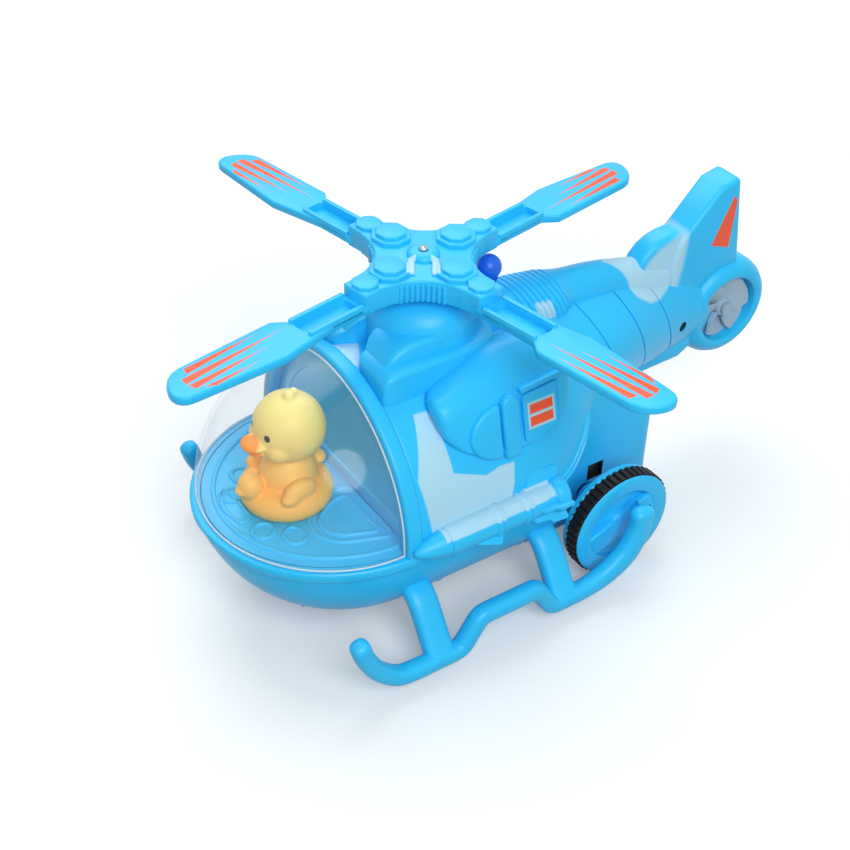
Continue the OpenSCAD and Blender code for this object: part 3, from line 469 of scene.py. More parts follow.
# Rows of x and height of its lower edge.
body_edge = [(BODY_FRONT, WAIST_Z), (-20, WAIST_Z), (-26, 44.6), (-33, 47), (-40.5, 54), (-48, 61.5),
             (-56, 65.3), (-60, 66), (-68, 66.2)]
# Rows of x, half width, half height and middle height of the boom.
boom_shape = [(-44, 29.6, 21, TAIL_Z), (-60, 26, 20.5, TAIL_Z), (-76, 20.5, 19.4, 65.4),
              (-91, 15.6, 17.8, 63), (-105, 11.4, 16, 61.4), (-121, 8.4, 13, 59.6)]


def through(table, at):
    """The values of a table at one place, on smooth curves through its rows."""
    rows = sorted(table)
    at = min(max(at, rows[0][0]), rows[-1][0])
    low = max(i for i in range(len(rows) - 1) if rows[i][0] <= at)
    gap = rows[low + 1][0] - rows[low][0]
    part = (at - rows[low][0]) / gap

    def rise(i, column):
        return (rows[i + 1][column] - rows[i][column]) / (rows[i + 1][0] - rows[i][0])

    def lean(i, column):
        if i in (0, len(rows) - 1):
            return rise(min(i, len(rows) - 2), column)
        before, after = rise(i - 1, column), rise(i, column)
        return 0 if before * after <= 0 else 2 * before * after / (before + after)

    values = []
    for column in range(1, len(rows[0])):
        start, end = rows[low][column], rows[low + 1][column]
        value = start * (1 + 2 * part) * (1 - part) ** 2 + gap * lean(low, column) * part * (1 - part) ** 2
        value += end * part ** 2 * (3 - 2 * part) + gap * lean(low + 1, column) * part ** 2 * (part - 1)
        values.append(value)
    return values


def ramp(value):
    """Holds a value between 0 and 1."""
    return min(1, max(0, value))


def row_at(table, share):
    """The row of a table that a share from 0 to 1 falls on."""
    return table[round(share * (len(table) - 1))]


def skin(name, rows, columns, lay, close=False):
    """A sheet of rows by columns that lay spreads over a form, with u and v running from 0 to 1."""
    bpy.ops.mesh.primitive_grid_add(x_subdivisions=rows, y_subdivisions=columns, size=2)
    obj = take(name)
    press(obj, lambda x, y, z: lay((x + 1) / 2, (y + 1) / 2))
    weld(obj, close)
    return obj


def body_ring(x, turn, out=0.0):
    """Where a ray from the tail's middle line meets the body's skin at x."""
    wide, tall = through(body_shape, x)
    wide, tall, across, up = wide + out, tall + out, math.cos(turn), math.sin(turn)
    square = (across / wide) ** 2 + (up / tall) ** 2
    half = up * TAIL_RISE / tall ** 2
    reach = (math.sqrt(half ** 2 - square * ((TAIL_RISE / tall) ** 2 - 1)) - half) / square
    blend = ramp((BLEND_FRONT - x) / BLEND_LONG)
    blend = blend * blend * (3 - 2 * blend)
    if blend:
        tail_wide, tail_tall = through(boom_shape, x)[:2]
        tail_reach = 1 / math.hypot(across / (tail_wide + LAP + out), up / (tail_tall + LAP + out))
        reach += blend * (tail_reach - reach)
    return reach * across, TAIL_Z + reach * up


def turn_at(x, z, out=0.0):
    """The turn of the ray that meets the body's skin at x and z, on the left side."""
    low, high = math.radians(-40), math.radians(85)
    for _ in range(24):
        half = (low + high) / 2
        low, high = (half, high) if body_ring(x, half, out)[1] < z else (low, half)
    return low


# The turn at which the lower edge lies, every 3 mm.
edge_turns = [(x, turn_at(x, through(body_edge, x)[0])) for x in range(-68, 29, 3)]


def body_lay(u, v):
    """Spreads the shell from edge to edge over the top, with rows that lean more and more to the rear."""
    seam = BODY_FRONT - BODY_LONG * u
    lean = SEAM_LEAN * ramp((LEAN_FRONT - seam) / LEAN_LONG) ** 1.5
    x = seam
    for _ in range(7 if lean else 1):
        start, = through(edge_turns, x)
        y, z = body_ring(x, start + (math.pi - 2 * start) * v)
        x = seam - lean * (SEAM_TOP - z)
    return x, y, z


def splash(x, y, z):
    """The white splash: a column behind the canopy, a swoosh over the rocket and a wedge on top."""
    column = patch(x, z, [(20.7, 82.6), (27.1, 67.9), (25.6, 56), (24, WAIST_Z), (14.2, WAIST_Z),
                          (14.6, 71), (14.9, 80.6), (16, 82.4)])
    swoosh = patch(x, z, [(15.5, 66.6), (3.4, 61.9), (-7, 56.5), (-4, WAIST_Z), (15.5, WAIST_Z)])
    spike = patch(x, z, [(4.5, 61.5), (-2.2, 62.9), (-7.6, 62.4), (-6.7, 56), (3.4, 56)])
    crown = patch(x, y, [(30, 4), (27.1, 7.2), (22, -2.5), (9.2, -25.4), (21.1, -19), (29.6, -6)])
    return column.most(swoosh).most(spike).most(crown * (z - 80).held())


body_paint = plastic("body_plastic", SKY, SATIN, (WHITE, splash))
body_shell = skin("body_shell", 72, 96, body_lay)
fit(body_shell, "SOLIDIFY", thickness=WALL, offset=-1)
soften(body_shell, 0.3, 2, 50)
mount(body_shell, "airframe", "sky_plastic", body_paint, "upper_body")

BEAD_FRONT = -22.5
BEAD_LONG = 25.5
# Points of mm up from the edge and mm out from the skin.
bead_across = [(-0.2, -0.5), (0.1, 0.5), (0.4, 0.8), (1.1, 0.8), (1.5, 0.3), (2.3, 0.3), (2.7, 0.8),
               (3.4, 0.8), (3.7, 0.5), (4.0, -0.5)]


def bead_lay(u, v):
    """Carries the bead's section along the body's lower edge and lets it sink in at the rear end."""
    x = BEAD_FRONT - BEAD_LONG * u
    up, out = row_at(bead_across, v)
    out -= 1.4 * ramp((u - 0.8) / 0.2) ** 2
    here, there = through(body_edge, x)[0], through(body_edge, x - 0.5)[0]
    run = math.hypot(0.5, there - here)
    x, z = x + up * (there - here) / run, here + up * 0.5 / run
    return (x, *body_ring(x, turn_at(x, z, out), out))


def arc(centre, radii, start, end, steps):
    """Points round a part of an oval, from one turn in degrees to another."""
    turns = [math.radians(start + (end - start) * i / steps) for i in range(steps + 1)]
    return [(centre[0] + radii[0] * math.cos(turn), centre[1] + radii[1] * math.sin(turn)) for turn in turns]


def face_on(u, v, w):
    """Lays a plate across the toy, upright."""
    return w, u, v


def twin(obj, name, place=Matrix.Scale(-1, 4, (0, 1, 0))):
    """A copy with its own mesh, mirrored to the other side unless another place is given."""
    only(obj)
    bpy.ops.object.duplicate(linked=False)
    copy = bpy.context.object
    copy.name = copy.data.name = name
    copy.data.transform(place)
    if place.determinant() < 0:
        copy.data.flip_normals()
    return copy


bead_left = skin("edge_bead_left", 40, len(bead_across) - 1, bead_lay, close=True)
bead_right = twin(bead_left, "edge_bead_right")
rear_edge = [(27.5, 42.5)] + arc((0, ROUND_Z), (42.4, 43.4), -5, 49, 12) + [(27.5, 79.5)]
wall_left = plate("rear_wall_left", rear_edge, -26.6, -25.2, face_on)
wall_right = twin(wall_left, "rear_wall_right")
for piece in (bead_left, bead_right, wall_left, wall_right):
    mount(piece, "airframe", "sky_plastic", sky_plain)

# Tail boom: a hollow cone that carries the fin and the fan, moulded in two halves.
# Three leaning grooves ring it as panel lines, and a white patch is sprayed on each side.
# A screw hole shows on its left, near the duct, its shallow recess painted black as painted shade.
BOOM_FRONT = -46
BOOM_LONG = 73
BOOM_STEPS = 36
STRAIGHT_FRONT = -92
STRAIGHT_LONG = 25
STRAIGHTEN = 0.31
SCREW_X = -105.6
SCREW_Z = 60.3
SCREW_R = 1.85
groove_places = (-56.3, -73, -89)
# Points of mm along the boom and mm deep.
groove_across = ((0.7, 0), (0.32, 0), (0.2, 0.6), (-0.2, 0.6), (-0.32, 0), (-0.7, 0))
boom_stations = [(place + along, deep) for place in groove_places for along, deep in groove_across]
for step in range(BOOM_STEPS + 1):
    station = BOOM_FRONT - BOOM_LONG * step / BOOM_STEPS
    if all(abs(station - place) > 1 for place in groove_places):
        boom_stations.append((station, 0))
boom_stations.sort(reverse=True)


def boom_lay(u, v):
    seam, deep = row_at(boom_stations, u)
    lean = SEAM_LEAN - STRAIGHTEN * ramp((STRAIGHT_FRONT - seam) / STRAIGHT_LONG)
    turn = 2 * math.pi * v
    x = seam
    for _ in range(8):
        wide, tall, middle = through(boom_shape, x)
        z = middle + (tall - deep) * math.sin(turn)
        x = seam - lean * (SEAM_TOP - z)
    return x, (wide - deep) * math.cos(turn), z


def boom_patch(x, y, z):
    return patch(x, z, [(-80.5, 85), (-82.4, 80.4), (-88.1, 76.6), (-93.3, 75.5), (-99.9, 76.2), (-104, 78),
                        (-104, 86)], 0.8)


# Black in the screw recess, a painted shade for the hole's dark inside.
def screw_hole(x, y, z):
    away = ((x - SCREW_X) ** 2.0 + (z - SCREW_Z) ** 2.0) ** 0.5
    return ((SCREW_R + 0.1 - away) / 0.3 + 0.5).held() * (y - 4).held()


boom_paint = plastic("boom_plastic", SKY, SATIN, (WHITE, boom_patch), (INK_AND_SHADE, screw_hole))
boom = skin("boom_shell", len(boom_stations) - 1, 72, boom_lay, close=True)
cut(boom, rod("screw_hole", SCREW_R, (SCREW_X, 8.6, SCREW_Z), (SCREW_X, 16, SCREW_Z), 24,
              (math.pi / 2, 0, 0)))
keel_edge = [(-78, 50), (-78, 44.5), (-84, 41.8), (-110, 42.6), (-116, 46), (-116, 52)]
keel = plate("boom_keel", keel_edge, -7, 7, side_on)
soften(keel, 1.8)
mount(boom, "airframe", "sky_plastic", boom_paint, "tail_boom")
mount(keel, "airframe", "sky_plastic", sky_plain)

# Hull rim: the thick lip round the nose that the canopy stands on.
# It is one moulding with the hull, in the same blue.
RIM_REACH = 47
# Points of degrees down the hull and mm out from it.
rim_across = [(0.05, -0.5), (0.05, 0.7), (0.25, 1.1), (0.6, 1.3), (2.9, 1.3), (3.4, 1.1), (3.7, 0.7),
              (3.8, -0.5)]


def rim_lay(u, v):
    """Carries the rim's section round the nose."""
    turn = math.pi * (u - 0.5)
    down, out = row_at(rim_across, v)
    low = math.radians(down)
    x, y, z = hull_place(math.cos(turn) * math.cos(low), math.sin(turn) * math.cos(low), -math.sin(low))
    return NOSE_X + (x - NOSE_X) * (1 + out / RIM_REACH), y * (1 + out / WAIST_HALF), z


mount(skin("hull_rim", 96, len(rim_across) - 1, rim_lay, close=True), "airframe", "sky_plastic", sky_plain)

# Spine fairing: a ribbed cowl that runs back over the body from the pylon and ends in a tube along the boom.
# Nine fine louvres are moulded across it, and its rear end and the ends of three louvres are sprayed white.
LOUVRES = 9
LOUVRE_FRONT = -31.6
LOUVRE_STEP = 2.15
SPINE_DEEP = 9
SPINE_TOP = 96
SPINE_FOOT = 84
COWL_FRONT = -14
COWL_LONG = 14
TUBE_FRONT = -50
TUBE_LONG = 12
# Rows of x, half width, top and squareness of the section, where 1 is round.
spine_shape = [(-8, 12, 96.4, 0.9), (-18, 12, 96.4, 0.9), (-30, 12.4, 96.6, 0.92), (-49, 11.6, 95, 0.95),
               (-53, 9.6, 94.6, 1), (-57, 7.6, 94.2, 1), (-70, 7.1, 92.8, 1), (-83, 6.8, 90, 1),
               (-102, 6, 85.6, 1)]
# Points of mm along the spine and mm deep.
louvre_across = ((0, 0), (-0.2, 0.15), (-0.4, 0.5), (-0.7, 0.5), (-0.9, 0.15), (-1.1, 0), (-1.8, 0))
spine_stations = [(x, 0) for x in (-8, -14, -20, -26, -30)]
for louvre in range(LOUVRES):
    spine_stations += [(LOUVRE_FRONT - LOUVRE_STEP * louvre + along, deep) for along, deep in louvre_across]
tube_stations = (-51.4, -52.4, -53.4, -54.4, -55.4, -56.4, -58, -64, -70, -76, -82, -88, -93, -98, -101)
spine_stations += [(x, 0) for x in tube_stations]


def spine_lay(u, v):
    seam, deep = row_at(spine_stations, u)
    fade = 1 if seam > TUBE_FRONT else max(0.1, 1 - (TUBE_FRONT - seam) / TUBE_LONG)
    lean = SEAM_LEAN * ramp((COWL_FRONT - seam) / COWL_LONG) * fade
    turn = math.pi * (v * 1.3 - 0.15)
    x = seam
    for _ in range(6):
        wide, top, square = through(spine_shape, x)
        wide, top = wide - deep * 0.8, top - deep
        y = wide * blunt(math.cos(turn), square)
        rise = blunt(math.sin(turn), square)
        z = top - SPINE_DEEP + SPINE_DEEP * (1 if rise > 0 else 2) * rise
        x = seam - lean * (SPINE_TOP - max(z, SPINE_FOOT))
    return x, y if rise > 0 else math.copysign(wide, y), z


def spine_patch(x, y, z):
    tail = patch(x, y.unsigned(), [(-72.5, -1), (-84, 9), (-104, 9), (-104, -1)], 0.8)
    ends = patch(x, y, [(-37.6, 9.6), (-38.4, 14), (-45.6, 14), (-44.6, 9.6)], 0.8)
    return tail.most(ends)


spine_paint = plastic("spine_plastic", SKY, SATIN, (WHITE, spine_patch))
spine = skin("spine_cowl", len(spine_stations) - 1, 40, spine_lay, close=True)
mount(spine, "airframe", "sky_plastic", spine_paint, "spine_fairing", smooth=30)

# Mast pylon: a round dome under the rotor, with a stepped fender along each side of it.
# It is moulded in the body's colour and is screwed on from inside.
STEP_FOOT = 72
pylon_line = [(3.2, 86), (19, 86), (19, 101), (18.7, 102.6), (17.8, 104.6), (16.2, 106.4), (14, 107.9),
              (11, 108.9), (7, 109.4), (3.2, 109.5), (3.2, 86)]


def turned(name, line, steps, lay=lambda a, b, h: (a, b, h)):
    """A turned form: a line of radius and height points carried round an axis."""
    def place(u, v):
        radius, along = row_at(line, u)
        return lay(radius * math.cos(2 * math.pi * v), radius * math.sin(2 * math.pi * v), along)
    return skin(name, len(line) - 1, steps, place)


def gather(obj, *others):
    """Joins loose parts of one moulding into one piece."""
    only(obj)
    for other in others:
        other.select_set(True)
    bpy.ops.object.join()


def fender(rows):
    """A raised step beside the dome, in rows of x, its top, its outer side and its inner side."""
    def lay(u, v):
        x, top, outer, inner = row_at(rows, u)
        edge = min(1.9, (top - STEP_FOOT - 1) / 2)
        across = [(inner, STEP_FOOT), (inner, top)]
        across += arc((outer - edge, top - edge), (edge, edge), 90, 0, 6)
        across += [(outer, STEP_FOOT), (inner, STEP_FOOT)]
        return (x, *row_at(across, v))
    return skin("pylon_step", len(rows) - 1, 10, lay, close=True)


lower_step = [(-15.6, 95, 13, 6), (-15.3, 95.8, 16.4, 6), (-14.4, 96.2, 18.9, 6), (-12.8, 96.3, 20.7, 6),
              (-10, 96.3, 21.9, 6), (-5, 96.2, 22.4, 6), (5, 96.1, 22.6, 6), (15, 96, 22.8, 6),
              (22, 95.9, 22.9, 6), (24.8, 95.6, 22.9, 6), (26.4, 95.1, 22.8, 6.4), (27.5, 94.1, 22.6, 7),
              (28.2, 92.6, 22.3, 8), (28.5, 90.8, 21.9, 9), (28.6, 88, 21.4, 10), (28.6, 74, 21.4, 10)]
upper_step = [(-9, 101.9, 10.5, 3), (-8.4, 102, 13.6, 3), (-6.6, 102, 16, 3), (-3.5, 102, 17.7, 3),
              (0, 101.9, 18.5, 3), (5, 101.7, 18.7, 3), (11, 101.5, 18.6, 3), (15, 101.2, 18.5, 3),
              (18, 100.6, 18.4, 3), (20.4, 99.7, 18.3, 3.4), (22.4, 98.4, 18.1, 4.2), (24, 96.6, 17.9, 5.2),
              (25.1, 94.6, 17.6, 6.2), (25.8, 92.4, 17.2, 7.4), (26.3, 90, 16.6, 8.6),
              (26.6, 87, 15.8, 9.8), (26.7, 80, 15, 10.6), (26.7, 74, 15, 10.6)]
pylon = turned("pylon_dome", pylon_line, 96)
left_steps = [fender(lower_step), fender(upper_step)]
gather(pylon, *[twin(step, "pylon_step_right") for step in left_steps], *left_steps)
mount(pylon, "airframe", "sky_plastic", sky_plain, "mast_pylon", smooth=34)

# Beacon: a ball on a short stem behind the mast, moulded in deep-blue plastic.
# Its stem is pressed into the spine.
DEEP = (0.010, 0.13, 0.74)
BEACON_X = -25.5
BEACON_R = 4.2
deep_blue = plastic("deep_blue_plastic", DEEP, 0.3)
beacon_line = [(0, 96), (2.6, 96), (2.6, 101.6), (3.2, 102)]
beacon_line += arc((0, 106), (BEACON_R, BEACON_R), -62, 90, 16)
beacon = turned("beacon_ball", beacon_line, 32, lambda a, b, h: (BEACON_X + a, b, h))
mount(beacon, "airframe", "deep_blue_plastic", deep_blue, "beacon_dome")

# Canopy frame: the raised arch that holds the canopy's rear edge.
# It is a rounded hoop of the same blue plastic, standing 1 mm proud of body and canopy.
HOOP_ROUND = 1.1
HOOP_PAST = 0.02
HOOP_LEG = 2.3
# The rounds at the corners of its section, by x, radius and first turn.
hoop_line = []
for corner_x, corner_r, start in ((32.9, 44.9, 0), (29.7, 44.9, 90), (29.7, 41.9, 180), (32.9, 41.9, 270)):
    hoop_line += arc((corner_x, corner_r), (HOOP_ROUND, HOOP_ROUND), start, start + 90, 4)
hoop_line.append(hoop_line[0])


def hoop_lay(u, v):
    """A half circle with a short straight leg at each end."""
    x, radius = row_at(hoop_line, v)
    turn = math.pi * (u * (1 + 2 * HOOP_PAST) - HOOP_PAST)
    if 0 <= turn <= math.pi:
        return x, radius * math.cos(turn), ROUND_Z + radius * math.sin(turn)
    low = min(turn, math.pi - turn) / (HOOP_PAST * math.pi)
    return x, math.copysign(radius, math.cos(turn)), ROUND_Z + HOOP_LEG * low


hoop = skin("canopy_hoop", 100, len(hoop_line) - 1, hoop_lay, close=True)
mount(hoop, "airframe", "sky_plastic", sky_plain, "canopy_frame")

# Cockpit deck: the floor under the canopy, dropped into the hull's rim.
# Raised outlines mark seats, dials, a console and a border on it, moulded with the floor.
DECK_THICK = 2
MARK_R = 0.85
BORDER_R = 0.9
deck_edge = [(30.4, -42.6)] + arc((NOSE_X, 0), (46.9, 42.6), -88, 88, 44) + [(30.4, 42.6)]
deck = plate("deck_floor", deck_edge, WAIST_Z - DECK_THICK, WAIST_Z)


def runs(path, loop=False):
    """The direction that a path takes at each of its points."""
    ends = path[-1:] + path + path[:1] if loop else path[:1] + path + path[-1:]
    return [(after - before).normalized() for before, after in zip(ends, ends[2:])]


def raised_line(name, path, radius, loop=False):
    """A half-round bead along a path on the deck."""
    path = [Vector((a, b, WAIST_Z)) for a, b in path]
    ways = runs(path, loop)
    rows = len(path) if loop else len(path) - 1

    def lay(u, v):
        at = round(u * rows) % len(path)
        side = Vector((-ways[at].y, ways[at].x, 0))
        turn = 2 * math.pi * v
        return path[at] + radius * (math.cos(turn) * side + Vector((0, 0, 0.9 * math.sin(turn))))
    return skin(name, rows, 10, lay, close=not loop)


def bend(start, middle, end, t):
    """A point on the curve from start to end that middle pulls on."""
    return (1 - t) ** 2 * start + 2 * t * (1 - t) * middle + t * t * end


def rounded(corners, radius, steps=5):
    """A closed outline with its corners rounded."""
    line = []
    for before, at, after in zip(corners[-1:] + corners[:-1], corners, corners[1:] + corners[:1]):
        at, before, after = Vector(at), Vector(before), Vector(after)
        start, end = at + (before - at).normalized() * radius, at + (after - at).normalized() * radius
        line += [tuple(bend(start, at, end, i / steps)) for i in range(steps + 1)]
    return line


seat = rounded([(31.6, 5), (31.6, 34), (47.6, 28), (52.4, 21.6), (51, 12.6), (41, 6)], 3)
seat_inner = rounded([(34.4, 9), (34.4, 29.8), (45.8, 25.2), (49, 20.4), (48, 14.8), (40, 9.4)], 2.4)
dial = arc((65.2, 10.2), (3.5, 3.5), 0, 345, 23)
gauge = rounded([(54.4, 18.6), (56.4, 12.8), (61.4, 15.2), (61, 20.4), (56.6, 21.8)], 2)
console = rounded([(71, -5.6), (69.6, 3.4), (65.2, 2.6), (65.4, -11.6), (68, -13.4)], 1.8)
border = arc((NOSE_X, 0), (43, 38.8), -88, 88, 44)
marks = [[(x, side * y) for x, y in line] for side in (1, -1) for line in (seat, seat_inner, dial, gauge)]
deck_marks = [raised_line("deck_mark", line, MARK_R, True) for line in marks + [console]]
deck_marks.append(raised_line("deck_mark", border, BORDER_R))
gather(deck, *deck_marks)
mount(deck, "airframe", "sky_plastic", sky_plain, "cockpit_deck")

# Cockpit wall: a blue half disc that closes the cockpit off behind the pilot.
# A recessed panel stiffens it, and it clips behind the canopy frame.
WALL_BLUE = (0.08, 0.58, 1.0)
wall_edge = [(40.4, 44.1)] + arc((0, ROUND_Z), (40.5, 40.5), 8, 172, 41) + [(-40.4, 44.1)]
wall = plate("cockpit_bulkhead", wall_edge, 28.7, 30.8, face_on)
pick(wall, lambda face: face.normal.x > 0.9)
bpy.ops.mesh.inset(thickness=5)
bpy.ops.mesh.extrude_region_move(TRANSFORM_OT_translate={"value": (-0.9, 0, 0)})
put_down()
soften(wall, 0.3, 2)
wall_blue = plastic("bulkhead_blue", WALL_BLUE, 0.25)
mount(wall, "airframe", "deep_blue_plastic", wall_blue, "cockpit_wall")

# Pilot: a duckling in a swim ring, cast in one piece of soft yellow vinyl and glued to the deck.
# Its bill is brushed darker, two eye dots are painted on, and its lower half is painted deeper orange as
# painted shade.
YELLOW = (1.0, 0.80, 0.26)
SHADE_AMBER = (1.0, 0.51, 0.10, 1)
BILL = (0.98, 0.30, 0.03, 1)
# The middle and the half sizes of each rounded form.
pilot_lumps = [
    ((50, 0, 54), (9.6, 9.2, 11)), ((49, 0, 72.6), (11.6, 12, 11.4)),  # body and head
    ((55.4, 5.2, 69.2), (4.6, 4.6, 4.2)), ((55.4, -5.2, 69.2), (4.6, 4.6, 4.2)),  # cheeks
    ((61.4, 0, 70.6), (4.4, 4.8, 1.8)), ((60.4, 0, 68), (3.6, 3.6, 1.5)),  # bill
    ((48.8, 0.4, 84.2), (2, 2, 1.8)), ((46.6, -0.8, 84), (1.6, 1.6, 1.6)),  # tuft
    ((51.5, 10.4, 55), (5.6, 2.8, 3.6)), ((51.5, -10.4, 55), (5.6, 2.8, 3.6)),  # wings
    ((55.6, 11.6, 53.6), (3.4, 2.4, 2.2)), ((55.6, -11.6, 53.6), (3.4, 2.4, 2.2)),  # wing tips
    ((39.6, 0, 56.5), (3, 3.4, 2)),  # tail
    ((63.6, 0, 54.6), (4.2, 4.4, 4.4)), ((67, 0, 54), (1.9, 2.4, 1.2))]  # head and bill of the ring


def ball(name, at, size):
    bpy.ops.mesh.primitive_uv_sphere_add(segments=32, ring_count=20, radius=1, location=at, scale=size)
    return take(name)


bpy.ops.mesh.primitive_torus_add(
    location=(51, 0, 48.7), major_radius=10.6, minor_radius=4.6, major_segments=64, minor_segments=24)
pilot = take("duckling")
gather(pilot, *[ball("lump", at, size) for at, size in pilot_lumps])
fit(pilot, "REMESH", mode="VOXEL", voxel_size=0.42)
fit(pilot, "SMOOTH", factor=0.5, iterations=6)


def near(x, y, z, at, size, soft=0.25):
    """A mask round a place that is mirrored on both sides."""
    dx, dy, dz = x - at[0], y.unsigned() - at[1], z - at[2]
    away = (dx * dx + dy * dy + dz * dz) ** 0.5
    return ((size - away) / soft + 0.5).held()


vinyl = plastic(
    "yellow_vinyl", YELLOW, 0.4,
    # Deeper orange towards the bottom: painted shade.
    (SHADE_AMBER, lambda x, y, z: ((79 - z) / 26).held() * 0.95),
    (BILL, lambda x, y, z: near(x, y, z, (64, 0, 69.4), 4.8, 0.8)),
    (INK_AND_SHADE, lambda x, y, z: near(x, y, z, (59.6, 4.8, 74.6), 1.2)))
vinyl_shader = vinyl.node_tree.nodes["Principled BSDF"]
vinyl_shader.inputs["Subsurface Weight"].default_value = 0.2
vinyl_shader.inputs["Subsurface Radius"].default_value = (0.004, 0.002, 0.0008)
mount(pilot, "airframe", "yellow_plastic", vinyl, "pilot_figure", smooth=60)

# Canopy: a blown dome of clear polystyrene that snaps into the frame and on to the hull's rim.
# It shines at its edges, where pale beads along the arch and the base are a painted highlight, mirrors the
# lamp faintly, and is nearly invisible where it is seen face on.
CANOPY_X = 34
CANOPY_R = 44.3
CANOPY_WALL = 1.5
EDGE_SHINE = 0.26
LAMP_GLINT = 0.014
HAZE_SCALE = 1000
CLEAR = (0.93, 0.97, 1.0, 1)
EDGE_HIGHLIGHT = (0.80, 0.90, 0.94)
clear = bpy.data.materials.new("clear_styrene")
clear.use_nodes = True
clear_shader = clear.node_tree.nodes["Principled BSDF"]
clear_start = Wire(clear.node_tree)
edge_on = clear_start.node("ShaderNodeLayerWeight", {}, {"Blend": 0.5}, "Facing")
clear_spot = clear_start.node("ShaderNodeTexCoord", {}, {}, "Object")
haze = clear_start.node("ShaderNodeTexNoise", {}, {"Vector": clear_spot, "Scale": HAZE_SCALE, "Detail": 2.0})
# The white shows more towards grazing angles: a painted reflection.
clear_alpha = edge_on ** 4.0 * EDGE_SHINE + haze * 0.02 + 0.01
clear.node_tree.links.new(clear_alpha.socket, clear_shader.inputs["Alpha"])
clear.node_tree.links.new((haze * 0.05 + 0.03).socket, clear_shader.inputs["Roughness"])
clear_shader.inputs["Base Color"].default_value = CLEAR
clear_shader.inputs["Specular IOR Level"].default_value = 0.9
clear_body = Wire(clear.node_tree, clear_shader.outputs["BSDF"])
clear_gloss = clear_start.node("ShaderNodeBsdfGlossy", {}, {"Roughness": 0.11})
clear_face = clear_start.node("ShaderNodeMixShader", {}, {0: LAMP_GLINT, 1: clear_body, 2: clear_gloss})
clear.node_tree.links.new(clear_face.socket, clear.node_tree.nodes["Material Output"].inputs["Surface"])
bpy.ops.mesh.primitive_uv_sphere_add(
    segments=128, ring_count=96, radius=CANOPY_R, location=(CANOPY_X, 0, ROUND_Z))
canopy = take("canopy_dome")
for cut_at, cut_normal in (((CANOPY_X + 0.1, 0, 0), (1, 0, 0)), ((0, 0, WAIST_Z + 0.2), (0, 0, 1))):
    pick(canopy, lambda face: True)
    bpy.ops.mesh.bisect(plane_co=cut_at, plane_no=cut_normal, clear_inner=True)
    put_down()
weld(canopy)
fit(canopy, "SOLIDIFY", thickness=CANOPY_WALL, offset=-1)
mount(canopy, "airframe", "clear_plastic", clear, "canopy")

# Pale half-clear beads on the canopy's edges: a painted highlight for their bright lines.
bead_highlight = plastic("painted_edge_highlight", EDGE_HIGHLIGHT, 0.14)
bead_highlight.node_tree.nodes["Principled BSDF"].inputs["Alpha"].default_value = 0.65


def arch_edge_lay(u, v):
    turn, bead_turn = math.pi * (u * 1.03 - 0.015), 2 * math.pi * v
    x = CANOPY_X + 0.6 + 0.28 * math.sin(bead_turn)
    reach = CANOPY_R - 0.2 + 0.28 * math.cos(bead_turn)
    return x, reach * math.cos(turn), ROUND_Z + reach * math.sin(turn)


def base_edge_lay(u, v):
    turn, bead_turn = math.pi * (u - 0.5), 2 * math.pi * v
    reach = CANOPY_R - 0.25 + 0.3 * math.cos(bead_turn)
    z = WAIST_Z + 0.6 + 0.3 * math.sin(bead_turn)
    return CANOPY_X + 0.75 + reach * math.cos(turn) * 0.985, reach * math.sin(turn), z


for edge_name, edge_lay in (("canopy_arch_edge", arch_edge_lay), ("canopy_base_edge", base_edge_lay)):
    mount(skin(edge_name, 96, 10, edge_lay, close=True), "airframe", "clear_plastic", bead_highlight)

# Engine pods: two shield-shaped cowls on the body's shoulders, moulded blue with an undercut edge.
# Each has a half-round intake, a domed post and a framed panel.
# A plain label of two orange bars sits in the frame.
ORANGE = (0.90, 0.105, 0.035, 1)
POD_AT = (-8, 38.9, 75.6)
POD_LEAN = 0.233
POD_RISE = 0.972
POD_SIDE = 30
# Rows from the inner edge down to the outer one: y and z at the front, y and z at the rear, and both ends' x.
pod_rows = [(19, 82, 17, 84, -33, 9.5), (20, 85.5, 17.4, 91, -33, 10.6), (22, 86.6, 19, 94.2, -33, 12.2),
            (26, 87.8, 24, 95.2, -33, 14.6), (30, 88.2, 29.4, 93.2, -33, 16.2),
            (33.6, 86.9, 33.6, 89.4, -33, 16.6), (36.2, 83.6, 36.4, 84.4, -33, 16.3),
            (38, 78.6, 38, 78.6, -32.5, 15), (39.7, 72.4, 39.7, 72.4, -29.4, 10.2),
            (41, 68.4, 41, 68.4, -22, 3.6), (41.7, 66.9, 41.7, 66.9, -17.2, 0),
            (41.5, 66.1, 41.5, 66.1, -14.2, -3), (39.4, 65.7, 39.4, 65.7, -12.5, -5)]
pod_table = [(at, *row) for at, row in enumerate(pod_rows)]
# Points of the share of the half length and the share of the full height, from the front to the middle.
pod_across = [(0.925, -0.3), (0.93, 0.16), (0.985, 0.22), (1, 0.32), (1, 0.5), (0.995, 0.66), (0.98, 0.8),
              (0.955, 0.9), (0.915, 0.96), (0.86, 1), (0.7, 1), (0.5, 1), (0.3, 1), (0.1, 1)]
pod_across += [(-along, full) for along, full in reversed(pod_across)]


def pod_lay(u, v):
    """Lofts the cowl: its inner edge lies low at the front and climbs the fender towards the rear."""
    along, full = row_at(pod_across, u)
    low_y, low_z, high_y, high_z, rear, front = through(pod_table, v * (len(pod_table) - 1))
    x = (front + rear) / 2 + (front - rear) / 2 * along
    climb = ramp((12.5 - x) / 20)
    y, rise = low_y + climb * (high_y - low_y), low_z + climb * (high_z - low_z) - ROUND_Z
    wide, tall = through(body_shape, x)
    flat = math.hypot(wide * y, tall * rise) / math.hypot(y, rise) ** 2
    share = flat + (1 - flat) * full
    return x, y * share, ROUND_Z + rise * share


